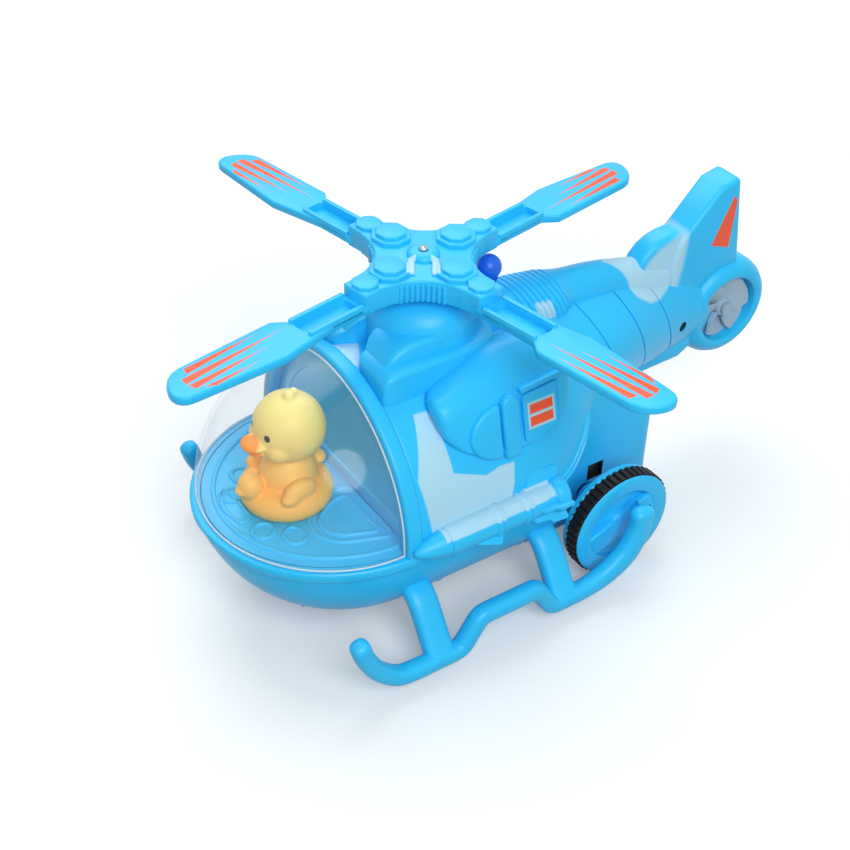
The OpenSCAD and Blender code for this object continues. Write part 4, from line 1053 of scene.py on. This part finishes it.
def pod_face(u, v, w):
    """Lays a detail on the pod's sloping outer face: u forwards, v up the face, w outwards."""
    x, y, z = POD_AT
    return x + u, y - POD_LEAN * v + POD_RISE * w, z + POD_RISE * v + POD_LEAN * w


def pod_label(x, y, z):
    return patch(x, z, oblong(-24.4, -13.9, 71.4, 80.4), 0.3) * (y.unsigned() - POD_SIDE).held()


def pod_bars(x, y, z):
    upper = patch(x, z, oblong(-23.6, -14.7, 76.4, 79.6), 0.3)
    lower = patch(x, z, oblong(-23.6, -14.7, 72.2, 75.4), 0.3)
    return upper.most(lower) * (y.unsigned() - POD_SIDE).held()


pod_paint = plastic("pod_plastic", SKY, SATIN, (WHITE, pod_label), (ORANGE, pod_bars))
pod_left = skin("engine_pod_left_cowl", len(pod_across) - 1, 60, pod_lay, close=True)
intake = plate("intake", arc((4.4, -1), (11.6, 9.2), -90, 90, 30), -3, 1.5, pod_face)
soften(intake, 1.2, 4)
post_edge = [(-2.1, -11)] + arc((1, 7.2), (3.1, 3.1), 180, 0, 15) + [(4.1, -11)]
post = plate("post", post_edge, -3, 2.5, pod_face)
soften(post, 1.3, 4)
panel_edge = rounded([(-4, -8.6), (-4, 8.2), (-18.6, 9.2), (-18.6, -5.2), (-14.8, -8.6)], 2)
panel = plate("panel", panel_edge, -3, 1.3, pod_face)
pick(panel, lambda face: face.normal.y > 0.9)
bpy.ops.mesh.inset(thickness=1.1)
bpy.ops.mesh.extrude_region_move(TRANSFORM_OT_translate={"value": (0, -0.49, -0.12)})
put_down()
soften(panel, 0.25, 2)
brow = plate("brow", rounded([(-3.4, 9.0), (-3.4, 10.8), (-20, 12), (-20, 10.2)], 0.7), -3, 1.7, pod_face)
soften(brow, 0.6, 3)
gather(pod_left, intake, post, panel, brow)
pod_right = twin(pod_left, "engine_pod_right_cowl")
mount(pod_left, "airframe", "sky_plastic", pod_paint, "engine_pod_left")
mount(pod_right, "airframe", "sky_plastic", pod_paint, "engine_pod_right")

# Rockets: two turned shapes along the waist, moulded hollow and plugged into the hull.
# Each has a seamed nose, two double bands, short fins, and a white sprayed upper side.
ROCKET_Y = 47
double_band = [(5, 0), (5.45, -0.3), (5.6, -0.6), (5.6, -1.4), (5.2, -1.7), (5.2, -2.3), (5.6, -2.6),
               (5.6, -3.4), (5.45, -3.7), (5, -4)]
rocket_line = [(0, 33), (0.9, 32.7), (1.8, 31.6), (2.8, 29.4), (3.7, 26.6), (4.4, 23.8), (4.75, 22.2),
               (4.75, 22), (4.45, 21.8), (4.45, 21.4), (4.85, 21.2), (5, 17)]
rocket_line += [(radius, front + along) for front in (4.8, -6.2) for radius, along in double_band]
rocket_line += [(5, -15.6), (4.7, -16.2), (4.6, -18.8), (5.8, -19.4), (6.2, -20), (6.2, -23.1), (5.8, -23.8),
                (4.9, -24), (4.3, -23.2), (3.8, -20.6), (0, -20.2)]
rocket_left = turned("rocket_left_shape", rocket_line, 40, lambda a, b, h: (h, ROCKET_Y + a, ROUND_Z + b))


def rocket_fin(turn, outline, thick=1.3):
    """A fin that stands out from the rocket at a turn round its axis, 0 being outwards."""
    out, up = math.cos(math.radians(turn)), math.sin(math.radians(turn))
    fin = plate("rocket_fin", outline, -thick / 2, thick / 2,
                lambda u, v, w: (u, ROCKET_Y + v * out - w * up, ROUND_Z + v * up + w * out))
    soften(fin, 0.4, 2)
    return fin


gather(
    rocket_left,
    rocket_fin(-38, [(13, 4), (11.4, 5.4), (5, 7.9), (3.6, 7.9), (1.2, 4)]),
    rocket_fin(-52, [(-9, 4), (-11.6, 6.8), (-16.4, 7.2), (-17.4, 8.6), (-22.8, 9), (-23.6, 8.4),
                     (-22.8, 4)]),
    rocket_fin(6, [(-10.6, 4), (-13, 6.6), (-17, 7), (-18, 8), (-22.8, 8.4), (-23.6, 7.8), (-23, 4)]),
    rocket_fin(112, [(-8, 4), (-12.6, 9.2), (-15, 10), (-22.6, 10), (-23.6, 9.2), (-22.8, 4)], 1.6))
rocket_right = twin(rocket_left, "rocket_right_shape")


def rocket_stripe(x, y, z):
    return patch(x, z, oblong(-19, 23, 49.4, 52.3))


rocket_paint = plastic("rocket_plastic", SKY, SATIN, (WHITE, rocket_stripe))
mount(rocket_left, "airframe", "sky_plastic", rocket_paint, "rocket_left")
mount(rocket_right, "airframe", "sky_plastic", rocket_paint, "rocket_right")

# Skids: two moulded rails, each bent up at both ends and once in the middle, on two oval struts.
# The struts are one piece with the rail, and bend over at a knee to plug into the hull's side.
SKID_Y = 56.7
SKID_R = 3.2
SKID_CAP = 2.6
STRUT_HALF_WIDE = 5
STRUT_HALF_THICK = 3.2
# Points of x and height of a rail's middle line.
skid_route = [(58.5, 28.6), (56.5, 22.6), (52, 15.1), (45, 9), (38, 7.6), (30, 7.6), (23.4, 7.6),
              (20.8, 8.2), (19.1, 9.8), (15.2, 15.8), (13.6, 17.6), (11, 18.4), (1.5, 18.4), (-6.4, 18.4),
              (-8.9, 17.7), (-10.4, 15.9), (-14, 10.2), (-15.6, 8.4), (-18.2, 7.6), (-24, 7.6), (-31, 7.9),
              (-40, 10.4), (-47.5, 15.6), (-51.5, 23.6), (-52.5, 30.6)]
# Points of y and height of a strut's middle line.
strut_route = [(36, 26.4), (41.5, 26.2), (45.2, 24.2), (48.2, 20.4), (52.4, 14.2), (55, 10.4), (56.5, 8.2)]


def flowing(points, steps):
    """A smooth line through points, each point with the direction that the line takes there."""
    points = [Vector(p) for p in points]
    ends = [2 * points[0] - points[1]] + points + [2 * points[-1] - points[-2]]
    line = []
    for a, b, c, d in zip(ends, ends[1:], ends[2:], ends[3:]):
        for t in (i / steps for i in range(steps)):
            curve = (2 * a - 5 * b + 4 * c - d) * t * t + (3 * b - a - 3 * c + d) * t ** 3
            line.append(0.5 * (2 * b + (c - a) * t + curve))
    line.append(points[-1])
    return list(zip(line, runs(line)))


skid_rows = [(here, run, 1.0) for here, run in flowing(skid_route, 6)]
for end, way in ((0, -1), (-1, 1)):
    here, run = skid_rows[end][:2]
    cap_turns = [math.radians(22.5 * i) for i in range(1, 5)]
    caps = [(here + way * run * SKID_CAP * math.sin(turn), run, math.cos(turn)) for turn in cap_turns]
    skid_rows = caps[::-1] + skid_rows if end == 0 else skid_rows + caps


def skid_lay(u, v):
    here, run, size = row_at(skid_rows, u)
    turn = 2 * math.pi * v
    side = SKID_R * size * blunt(math.cos(turn), 0.78)
    deep = SKID_R + 1.1 * ramp((-30 - here.x) / 14)
    rise = deep * size * blunt(math.sin(turn), 0.78)
    return here.x - rise * run.y, SKID_Y + side, here.y + rise * run.x


skid_left = skin("skid_left_rail", len(skid_rows) - 1, 28, skid_lay)
strut_path = flowing(strut_route, 4)


def strut_lay(u, v):
    here, run = row_at(strut_path, u)
    turn = 2 * math.pi * v
    wide = STRUT_HALF_WIDE * blunt(math.cos(turn), 0.7)
    thick = STRUT_HALF_THICK * blunt(math.sin(turn), 0.7)
    return wide, here.x - thick * run.y, here.y + thick * run.x


for strut_x in (28.5, -21):
    strut = skin("strut", len(strut_path) - 1, 32, strut_lay, close=True)
    strut.data.transform(Matrix.Translation((strut_x, 0, 0)))
    soften(strut, 1.2, 3, 50)
    gather(skid_left, strut)
skid_right = twin(skid_left, "skid_right_rail")
mount(skid_left, "airframe", "sky_plastic", sky_plain, "skid_left")
mount(skid_right, "airframe", "sky_plastic", sky_plain, "skid_right")

# Tail fin: a thick swept fin with a clipped top on a lower rounded root, moulded in halves with the boom.
# The root is sprayed white inside its edge, and a plain orange taper is printed on each side.
FIN_HALF = 6.2
ROOT_HALF = 4.7
fin_edge = [(-101, 74), (-101.6, 85), (-102.8, 90), (-105, 93.6), (-108.4, 96.8), (-120.5, 109.5),
            (-129, 111.4), (-133, 84), (-134.4, 74), (-126, 66), (-108, 66)]
root_edge = [(-84.4, 74), (-85.4, 82), (-86.6, 86), (-88.6, 89.6), (-91.4, 92.4), (-95.4, 94.6),
             (-100.4, 95.7), (-107.5, 96), (-110, 90), (-110, 74)]
fin = plate("fin_blade", fin_edge, -FIN_HALF, FIN_HALF, side_on)
soften(fin, 1.9, 4, 40)
fin_root = plate("fin_root", root_edge, -ROOT_HALF, ROOT_HALF, side_on)
soften(fin_root, 2.6, 6, 60)
gather(fin, fin_root)


def root_spray(x, y, z):
    return patch(x, z, [(-87, 74), (-88.6, 84), (-91.4, 88.8), (-95.6, 92), (-101, 93.8), (-108, 96),
                        (-106.6, 86), (-105.8, 74)], 2.2)


def fin_taper(x, y, z):
    taper = patch(x, z, [(-126.6, 104.8), (-128.4, 102.7), (-127.4, 83.9), (-118.7, 87.1)], 0.3)
    return taper * (y.unsigned() - 5).held()


fin_paint = plastic("fin_plastic", SKY, SATIN, (WHITE, root_spray), (ORANGE, fin_taper))
mount(fin, "airframe", "sky_plastic", fin_paint, "tail_fin")

# Fan duct: a fat ring at the end of the boom, moulded in the body's blue.
# A three-armed spider in it holds the fan's pin.
FAN_X = joint_at["fan_spin"][0] / MM - MAST
FAN_Z = joint_at["fan_spin"][2] / MM
duct_half = [(19.47, 3), (19, 5.2), (17.5, 7.7), (15.4, 9), (13.8, 9), (12.95, 8.5), (12.75, 7.6)]
duct_line = [(radius, -along) for radius, along in reversed(duct_half)] + duct_half + [(12.75, -7.6)]
fan_place = Matrix.Translation((FAN_X, 0, FAN_Z))


def on_fan(a, b, h):
    """Lays a turned form on the fan's axis."""
    return FAN_X + a, h, FAN_Z + b


duct = turned("duct_ring", duct_line, 80, on_fan)
spider = rod("spider", 3.6, (FAN_X, -5.2, FAN_Z), (FAN_X, -2, FAN_Z), turn=(math.pi / 2, 0, 0))
soften(spider, 0.5, 2)
for arm in range(3):
    bar = block("arm", (2, -5, -1.3), (13.2, -2.2, 1.3))
    soften(bar, 0.4, 2)
    bar.data.transform(fan_place @ Matrix.Rotation(math.radians(120 * arm + 90), 4, "Y"))
    gather(spider, bar)
gather(duct, spider)
mount(duct, "airframe", "sky_plastic", sky_plain, "fan_duct")

# Tail fan: a grey moulded fan with six broad swept blades.
# It turns freely on its pin in the duct.
GREY = (0.34, 0.47, 0.58)
FAN_BLADES = 6
FAN_ROOT = 3.2
FAN_REACH = 8.7
fan_grey = plastic("grey_plastic", GREY, 0.4)
fan_hub_line = [(1.7, 2.9), (3.6, 2.9), (3.7, 3.4), (3.7, 6.2), (3.3, 6.8), (2.4, 7), (1.7, 7), (1.7, 2.9)]
fan = turned("fan_rotor", fan_hub_line, 32, on_fan)


def fan_blade_lay(u, v):
    """A swept, twisted blade from the hub outwards."""
    reach = FAN_ROOT + FAN_REACH * u
    turn = math.radians(-36 + 74 * v) - 0.06 * (reach - FAN_ROOT)
    deep = 3.5 + 2.9 * v + 0.3 * math.sin(math.pi * v)
    return on_fan(reach * math.cos(turn), reach * math.sin(turn), deep)


fan_blade = skin("fan_blade", 10, 12, fan_blade_lay)
fit(fan_blade, "SOLIDIFY", thickness=0.8, offset=0)
for blade in range(1, FAN_BLADES):
    turn = Matrix.Rotation(math.radians(360 / FAN_BLADES * blade), 4, "Y")
    gather(fan, twin(fan_blade, "fan_blade_copy", fan_place @ turn @ fan_place.inverted()))
gather(fan, fan_blade)
mount(fan, "fan", "grey_plastic", fan_grey, "tail_fan")

# Rear wheels: moulded blue wheels with two flanges and a dished face crossed by a broad slanting bar.
# They are pressed on the axle's ends.
BAR_TURN = math.radians(159)
wheel_line = [(2, 48.6), (4.4, 48.6), (5, 48), (5.2, 46.8), (6, 46.4), (12.5, 46.4), (13.2, 46.8),
              (13.5, 48.7), (14, 49.2), (14.5, 49.38), (18.6, 49.38), (19.3, 49.1), (19.6, 48.8),
              (19.6, 48.6), (19.3, 48.4), (17, 48.4), (17, 43.2), (19.2, 43.2), (19.6, 42.8), (19.6, 41.3),
              (19, 40.8), (5.2, 40.8), (5, 40.5), (5, 30.2), (4.6, 29.8), (2, 29.8), (2, 48.6)]


def on_axle(a, b, h):
    """Lays a turned form on the rear axle."""
    return AXLE_X + a, h, AXLE_Z + b


def bar_lay(u, v, w):
    along, up = math.cos(BAR_TURN), math.sin(BAR_TURN)
    return on_axle(u * along - v * up, u * up + v * along, w)


wheel_left = turned("wheel_left_disc", wheel_line, 96, on_axle)
bar_edge = rounded([(-13.8, -4.5), (-13.8, 4.5), (13.8, 4.5), (13.8, -4.5)], 1.6)
bar = plate("wheel_bar", bar_edge, 46.1, 49.3, bar_lay)
soften(bar, 0.8, 3)
for notch_x, notch_z in ((-62, 22.6), (-47, 24.4), (-56, 26.8)):
    cut(bar, block("notch", (notch_x - 1.6, 47.6, notch_z - 1.3), (notch_x + 1.6, 51, notch_z + 1.3)))
gather(wheel_left, bar)
wheel_right = twin(wheel_left, "wheel_right_disc")
mount(wheel_left, "rear_wheels", "sky_plastic", sky_plain, "wheel_left")
mount(wheel_right, "rear_wheels", "sky_plastic", sky_plain, "wheel_right")

# Tyres: black rubber bands with a ribbed tread.
# They are stretched on between the wheel flanges.
RIBS = 48
RIB_R = 20.28
GROOVE_R = 19.35
RUBBER = (0.010, 0.010, 0.012)
tyre_rows = [(17.1, 43.3), (19.2, 43.3), (None, 43.6), (None, 48), (19.2, 48.3), (17.1, 48.3), (17.1, 43.3)]


def tyre_lay(u, v):
    """Carries the band's section round the axle. The rows without a radius are its ribbed tread."""
    radius, y = row_at(tyre_rows, u)
    if radius is None:
        radius = RIB_R if 0.2 < (RIBS * v) % 1 < 0.8 else GROOVE_R
    turn = 2 * math.pi * v
    return on_axle(radius * math.cos(turn), radius * math.sin(turn), y)


rubber = plastic("black_rubber", RUBBER, 0.55)
tyre_left = skin("tyre_left_band", len(tyre_rows) - 1, RIBS * 5, tyre_lay)
tyre_right = twin(tyre_left, "tyre_right_band")
mount(tyre_left, "rear_wheels", "tyre", rubber, "tyre_left", smooth=25)
mount(tyre_right, "rear_wheels", "tyre", rubber, "tyre_right", smooth=25)

# Rotor hub: a cross-shaped moulding with hollowed, ribbed sides, and octagon bosses and low pads on its arms.
# It is held on the shaft by a small domed screw in its middle.
REST = 11.2
STUD_TURN = math.radians(56.2)
HUB_LOW = 111.2
HUB_TOP = 118.6
STEEL = (0.56, 0.57, 0.59)
# Radius, distance from the mast, foot and top of the bosses and the pad on one arm.
boss_sizes = ((6.7, 14.3, 118, 120), (5.2, 14.3, 119, 121.2), (4.4, 24.4, 118, 119.7))


def hollow_at(t):
    """A point on the curve that hollows the hub between two arms."""
    return bend(21, 7.9, 5.6, t), bend(5.6, 7.9, 21, t)


quarter_edge = [(29, -4.2), (29, 4.2), (28.4, 5), (22.8, 5), (21.8, 5.6)]
quarter_edge += [hollow_at(i / 20) for i in range(21)] + [(5.6, 21.8), (5, 22.8), (5, 28.4)]
cross_edge = []
for across, up in ((1, 0), (0, 1), (-1, 0), (0, -1)):
    cross_edge += [(a * across - b * up, a * up + b * across) for a, b in quarter_edge]
hub = plate("hub_cross", cross_edge, HUB_LOW, HUB_TOP)
soften(hub, 0.7, 3, 60)
foot = rod("hub_foot", 13, (0, 0, 110.6), (0, 0, 112), 64)
gather(hub, foot)
for quarter in range(4):
    turn = Matrix.Rotation(math.radians(90 * quarter), 4, "Z")
    for rib_at in (hollow_at(0.2 + 0.075 * i) for i in range(9)):
        rib = rod("hub_rib", 0.75, (*rib_at, 111.5), (*rib_at, 117.4), 10)
        soften(rib, 0.3, 2)
        rib.data.transform(turn)
        gather(hub, rib)
    for radius, reach, low, high in boss_sizes:
        boss = rod("hub_boss", radius, (0, 0, low), (0, 0, high), 8, (0, 0, math.radians(22.5)))
        soften(boss, 0.45, 3)
        boss.data.transform(turn @ Matrix.Translation((reach, 0, 0)))
        gather(hub, boss)
cap_line = [(1.4, 117), (5.2, 117), (5.2, 119), (4.9, 119.7), (4.1, 120.3), (3, 120.6), (1.8, 120.6),
            (1.4, 120.2), (1.4, 117)]
gather(hub, turned("hub_cap", cap_line, 40))
hub.data.transform(Matrix.Rotation(math.radians(REST), 4, "Z"))
for side in (3.7, -3.7):
    stud = block("hub_stud", (3.4, side - 1.1, 118), (12.2, side + 1.1, 119.7))
    soften(stud, 0.45, 3)
    stud.data.transform(Matrix.Rotation(STUD_TURN, 4, "Z"))
    gather(hub, stud)


def stud_white_tops(x, y, z):
    """White on the tops of the two studs, found by turning back to their own direction."""
    along = x * math.cos(STUD_TURN) + y * math.sin(STUD_TURN)
    aside = y * math.cos(STUD_TURN) - x * math.sin(STUD_TURN)
    return patch(along, aside.unsigned(), oblong(3, 12.6, 2.3, 5.1), 0.3) * ((z - 118.9) * 4).held()


hub_paint = plastic("hub_plastic", SKY, SATIN, (WHITE, stud_white_tops))
mount(hub, "rotor", "sky_plastic", hub_paint, "rotor_hub")

steel = plastic("bright_steel", STEEL, 0.28)
steel.node_tree.nodes["Principled BSDF"].inputs["Metallic"].default_value = 1.0
screw_line = [(0, 117.2), (1, 117.2), (1, 120.1), (1.3, 120.3), (1.35, 120.9), (1.1, 121.4), (0.6, 121.7),
              (0, 121.78)]
screw = turned("hub_screw", screw_line, 24)
for groove in (((-2, -0.2, 121.3), (2, 0.2, 124)), ((-0.2, -2, 121.3), (0.2, 2, 124))):
    cut(screw, block("drive", *groove))
mount(screw, "rotor", "steel", steel, "rotor_screw")

# Rotor blades: four flat moulded blades with slotted arms, snapped under the hub's arms.
# Each has a rounded tip and a plain print of four orange streaks.
PRINT_SPAN = 100
BLADE_LOW = 111.8
BLADE_TOP = 114.7
SLOT_FLOOR = 112.6
RIM_TOP = 115.7
blade_edge = [(27, -5.2), (50, -5.2), (54.5, -8.8), (88, -8.8), (90.6, -8.2), (93.2, -6.5), (95.2, -4.2),
              (96.4, -1.8), (96.85, 0), (96.7, 1.8), (95.8, 3.4), (94.2, 4.5), (92, 5), (62, 8.2),
              (42, 5.2), (27, 5.2)]
slot_edge = rounded([(30.4, -3.4), (30.4, 3.4), (50.6, 3.4), (50.6, -3.4)], 1.6)
blade = plate("blade_form", blade_edge, BLADE_LOW, BLADE_TOP)
soften(blade, 0.8, 3)
cut(blade, plate("slot", slot_edge, SLOT_FLOOR, RIM_TOP + 0.3))
for low, high in ((3.6, 5.2), (-5.2, -3.6)):
    rim_edge = rounded([(29.4, low), (29.4, high), (50.6, high), (50.6, low)], 0.7)
    rim = plate("arm_rim", rim_edge, SLOT_FLOOR + 0.4, RIM_TOP)
    soften(rim, 0.4, 2)
    gather(blade, rim)
chart = blade.data.uv_layers.new(name="print")
for loop in blade.data.loops:
    spot = blade.data.vertices[loop.vertex_index].co
    chart.data[loop.index].uv = (spot.x / PRINT_SPAN, spot.y / PRINT_SPAN + 0.5)

streaks = [[(62, -6.6), (87, -7.2), (88, -4.4)], [(55.5, -3.2), (90.5, -3.6), (91, -0.8)],
           [(64, 0.6), (91, 0), (90, 2.6)], [(70, 4.4), (88, 3.4), (85, 5.2)]]
blade_paint = plastic("blade_plastic", SKY, SATIN)
blade_tree = blade_paint.node_tree
print_at = Wire(blade_tree).node("ShaderNodeUVMap", {"uv_map": "print"}, {})
spot = print_at.node("ShaderNodeVectorMath", {"operation": "MULTIPLY_ADD"},
                     {0: print_at, 1: (PRINT_SPAN, PRINT_SPAN, 0), 2: (0, -PRINT_SPAN / 2, 0)})
out_along, out_side = (spot.node("ShaderNodeSeparateXYZ", {}, {0: spot}, axis) for axis in "XY")
inked = None
for streak in streaks:
    bar_mask = patch(out_along, out_side, streak, 0.3)
    inked = bar_mask if inked is None else inked.most(bar_mask)
blade_shader = blade_tree.nodes["Principled BSDF"]
bare_tone = Wire(blade_tree, blade_shader.inputs["Base Color"].links[0].from_socket)
upper_face = Wire(blade_tree).node("ShaderNodeNewGeometry", {}, {}, "Normal")
facing_up = upper_face.node("ShaderNodeSeparateXYZ", {}, {0: upper_face}, "Z")
inked = inked * (facing_up * 4 - 2).held()
blade_tree.links.new(mix(inked, bare_tone, ORANGE).socket, blade_shader.inputs["Base Color"])
for quarter in range(4):
    copy = twin(blade, f"blade_{quarter + 1}", Matrix.Rotation(math.radians(REST + 90 * quarter), 4, "Z"))
    mount(copy, "rotor", "sky_plastic", blade_paint, f"rotor_blade_{quarter + 1}")
bpy.data.objects.remove(blade)

# Inner works: the friction motor's gears, plates, shafts and screws, kept as the CAD solids draw them.
# Gears, plates and bearings are natural nylon, and shafts, spacers, flywheel and screws bright steel.
# The roller under the nose and its bracket are deep blue, and the fan's pin is grey.
NYLON = (0.78, 0.75, 0.68)
nylon = plastic("natural_nylon", NYLON, 0.42)
for finish, names in (
        (deep_blue, "nose_bracket nose_roller"), (fan_grey, "fan_pin"),
        (nylon, "motor_plate_left motor_plate_right mast_bridge mast_bush "
                "axle_gear lay_gear idler_gear mast_pinion crown_gear"),
        (steel, "nose_axle plate_spacers rear_axle flywheel rotor_shaft body_screws")):
    for name in names.split():
        node = frame["nodes"][name]
        if not node.material_slots:
            node.data.materials.append(finish)
        for held in node.material_slots:
            held.material = finish

# View: plain colours for the view.
scene.view_settings.view_transform = "Standard"
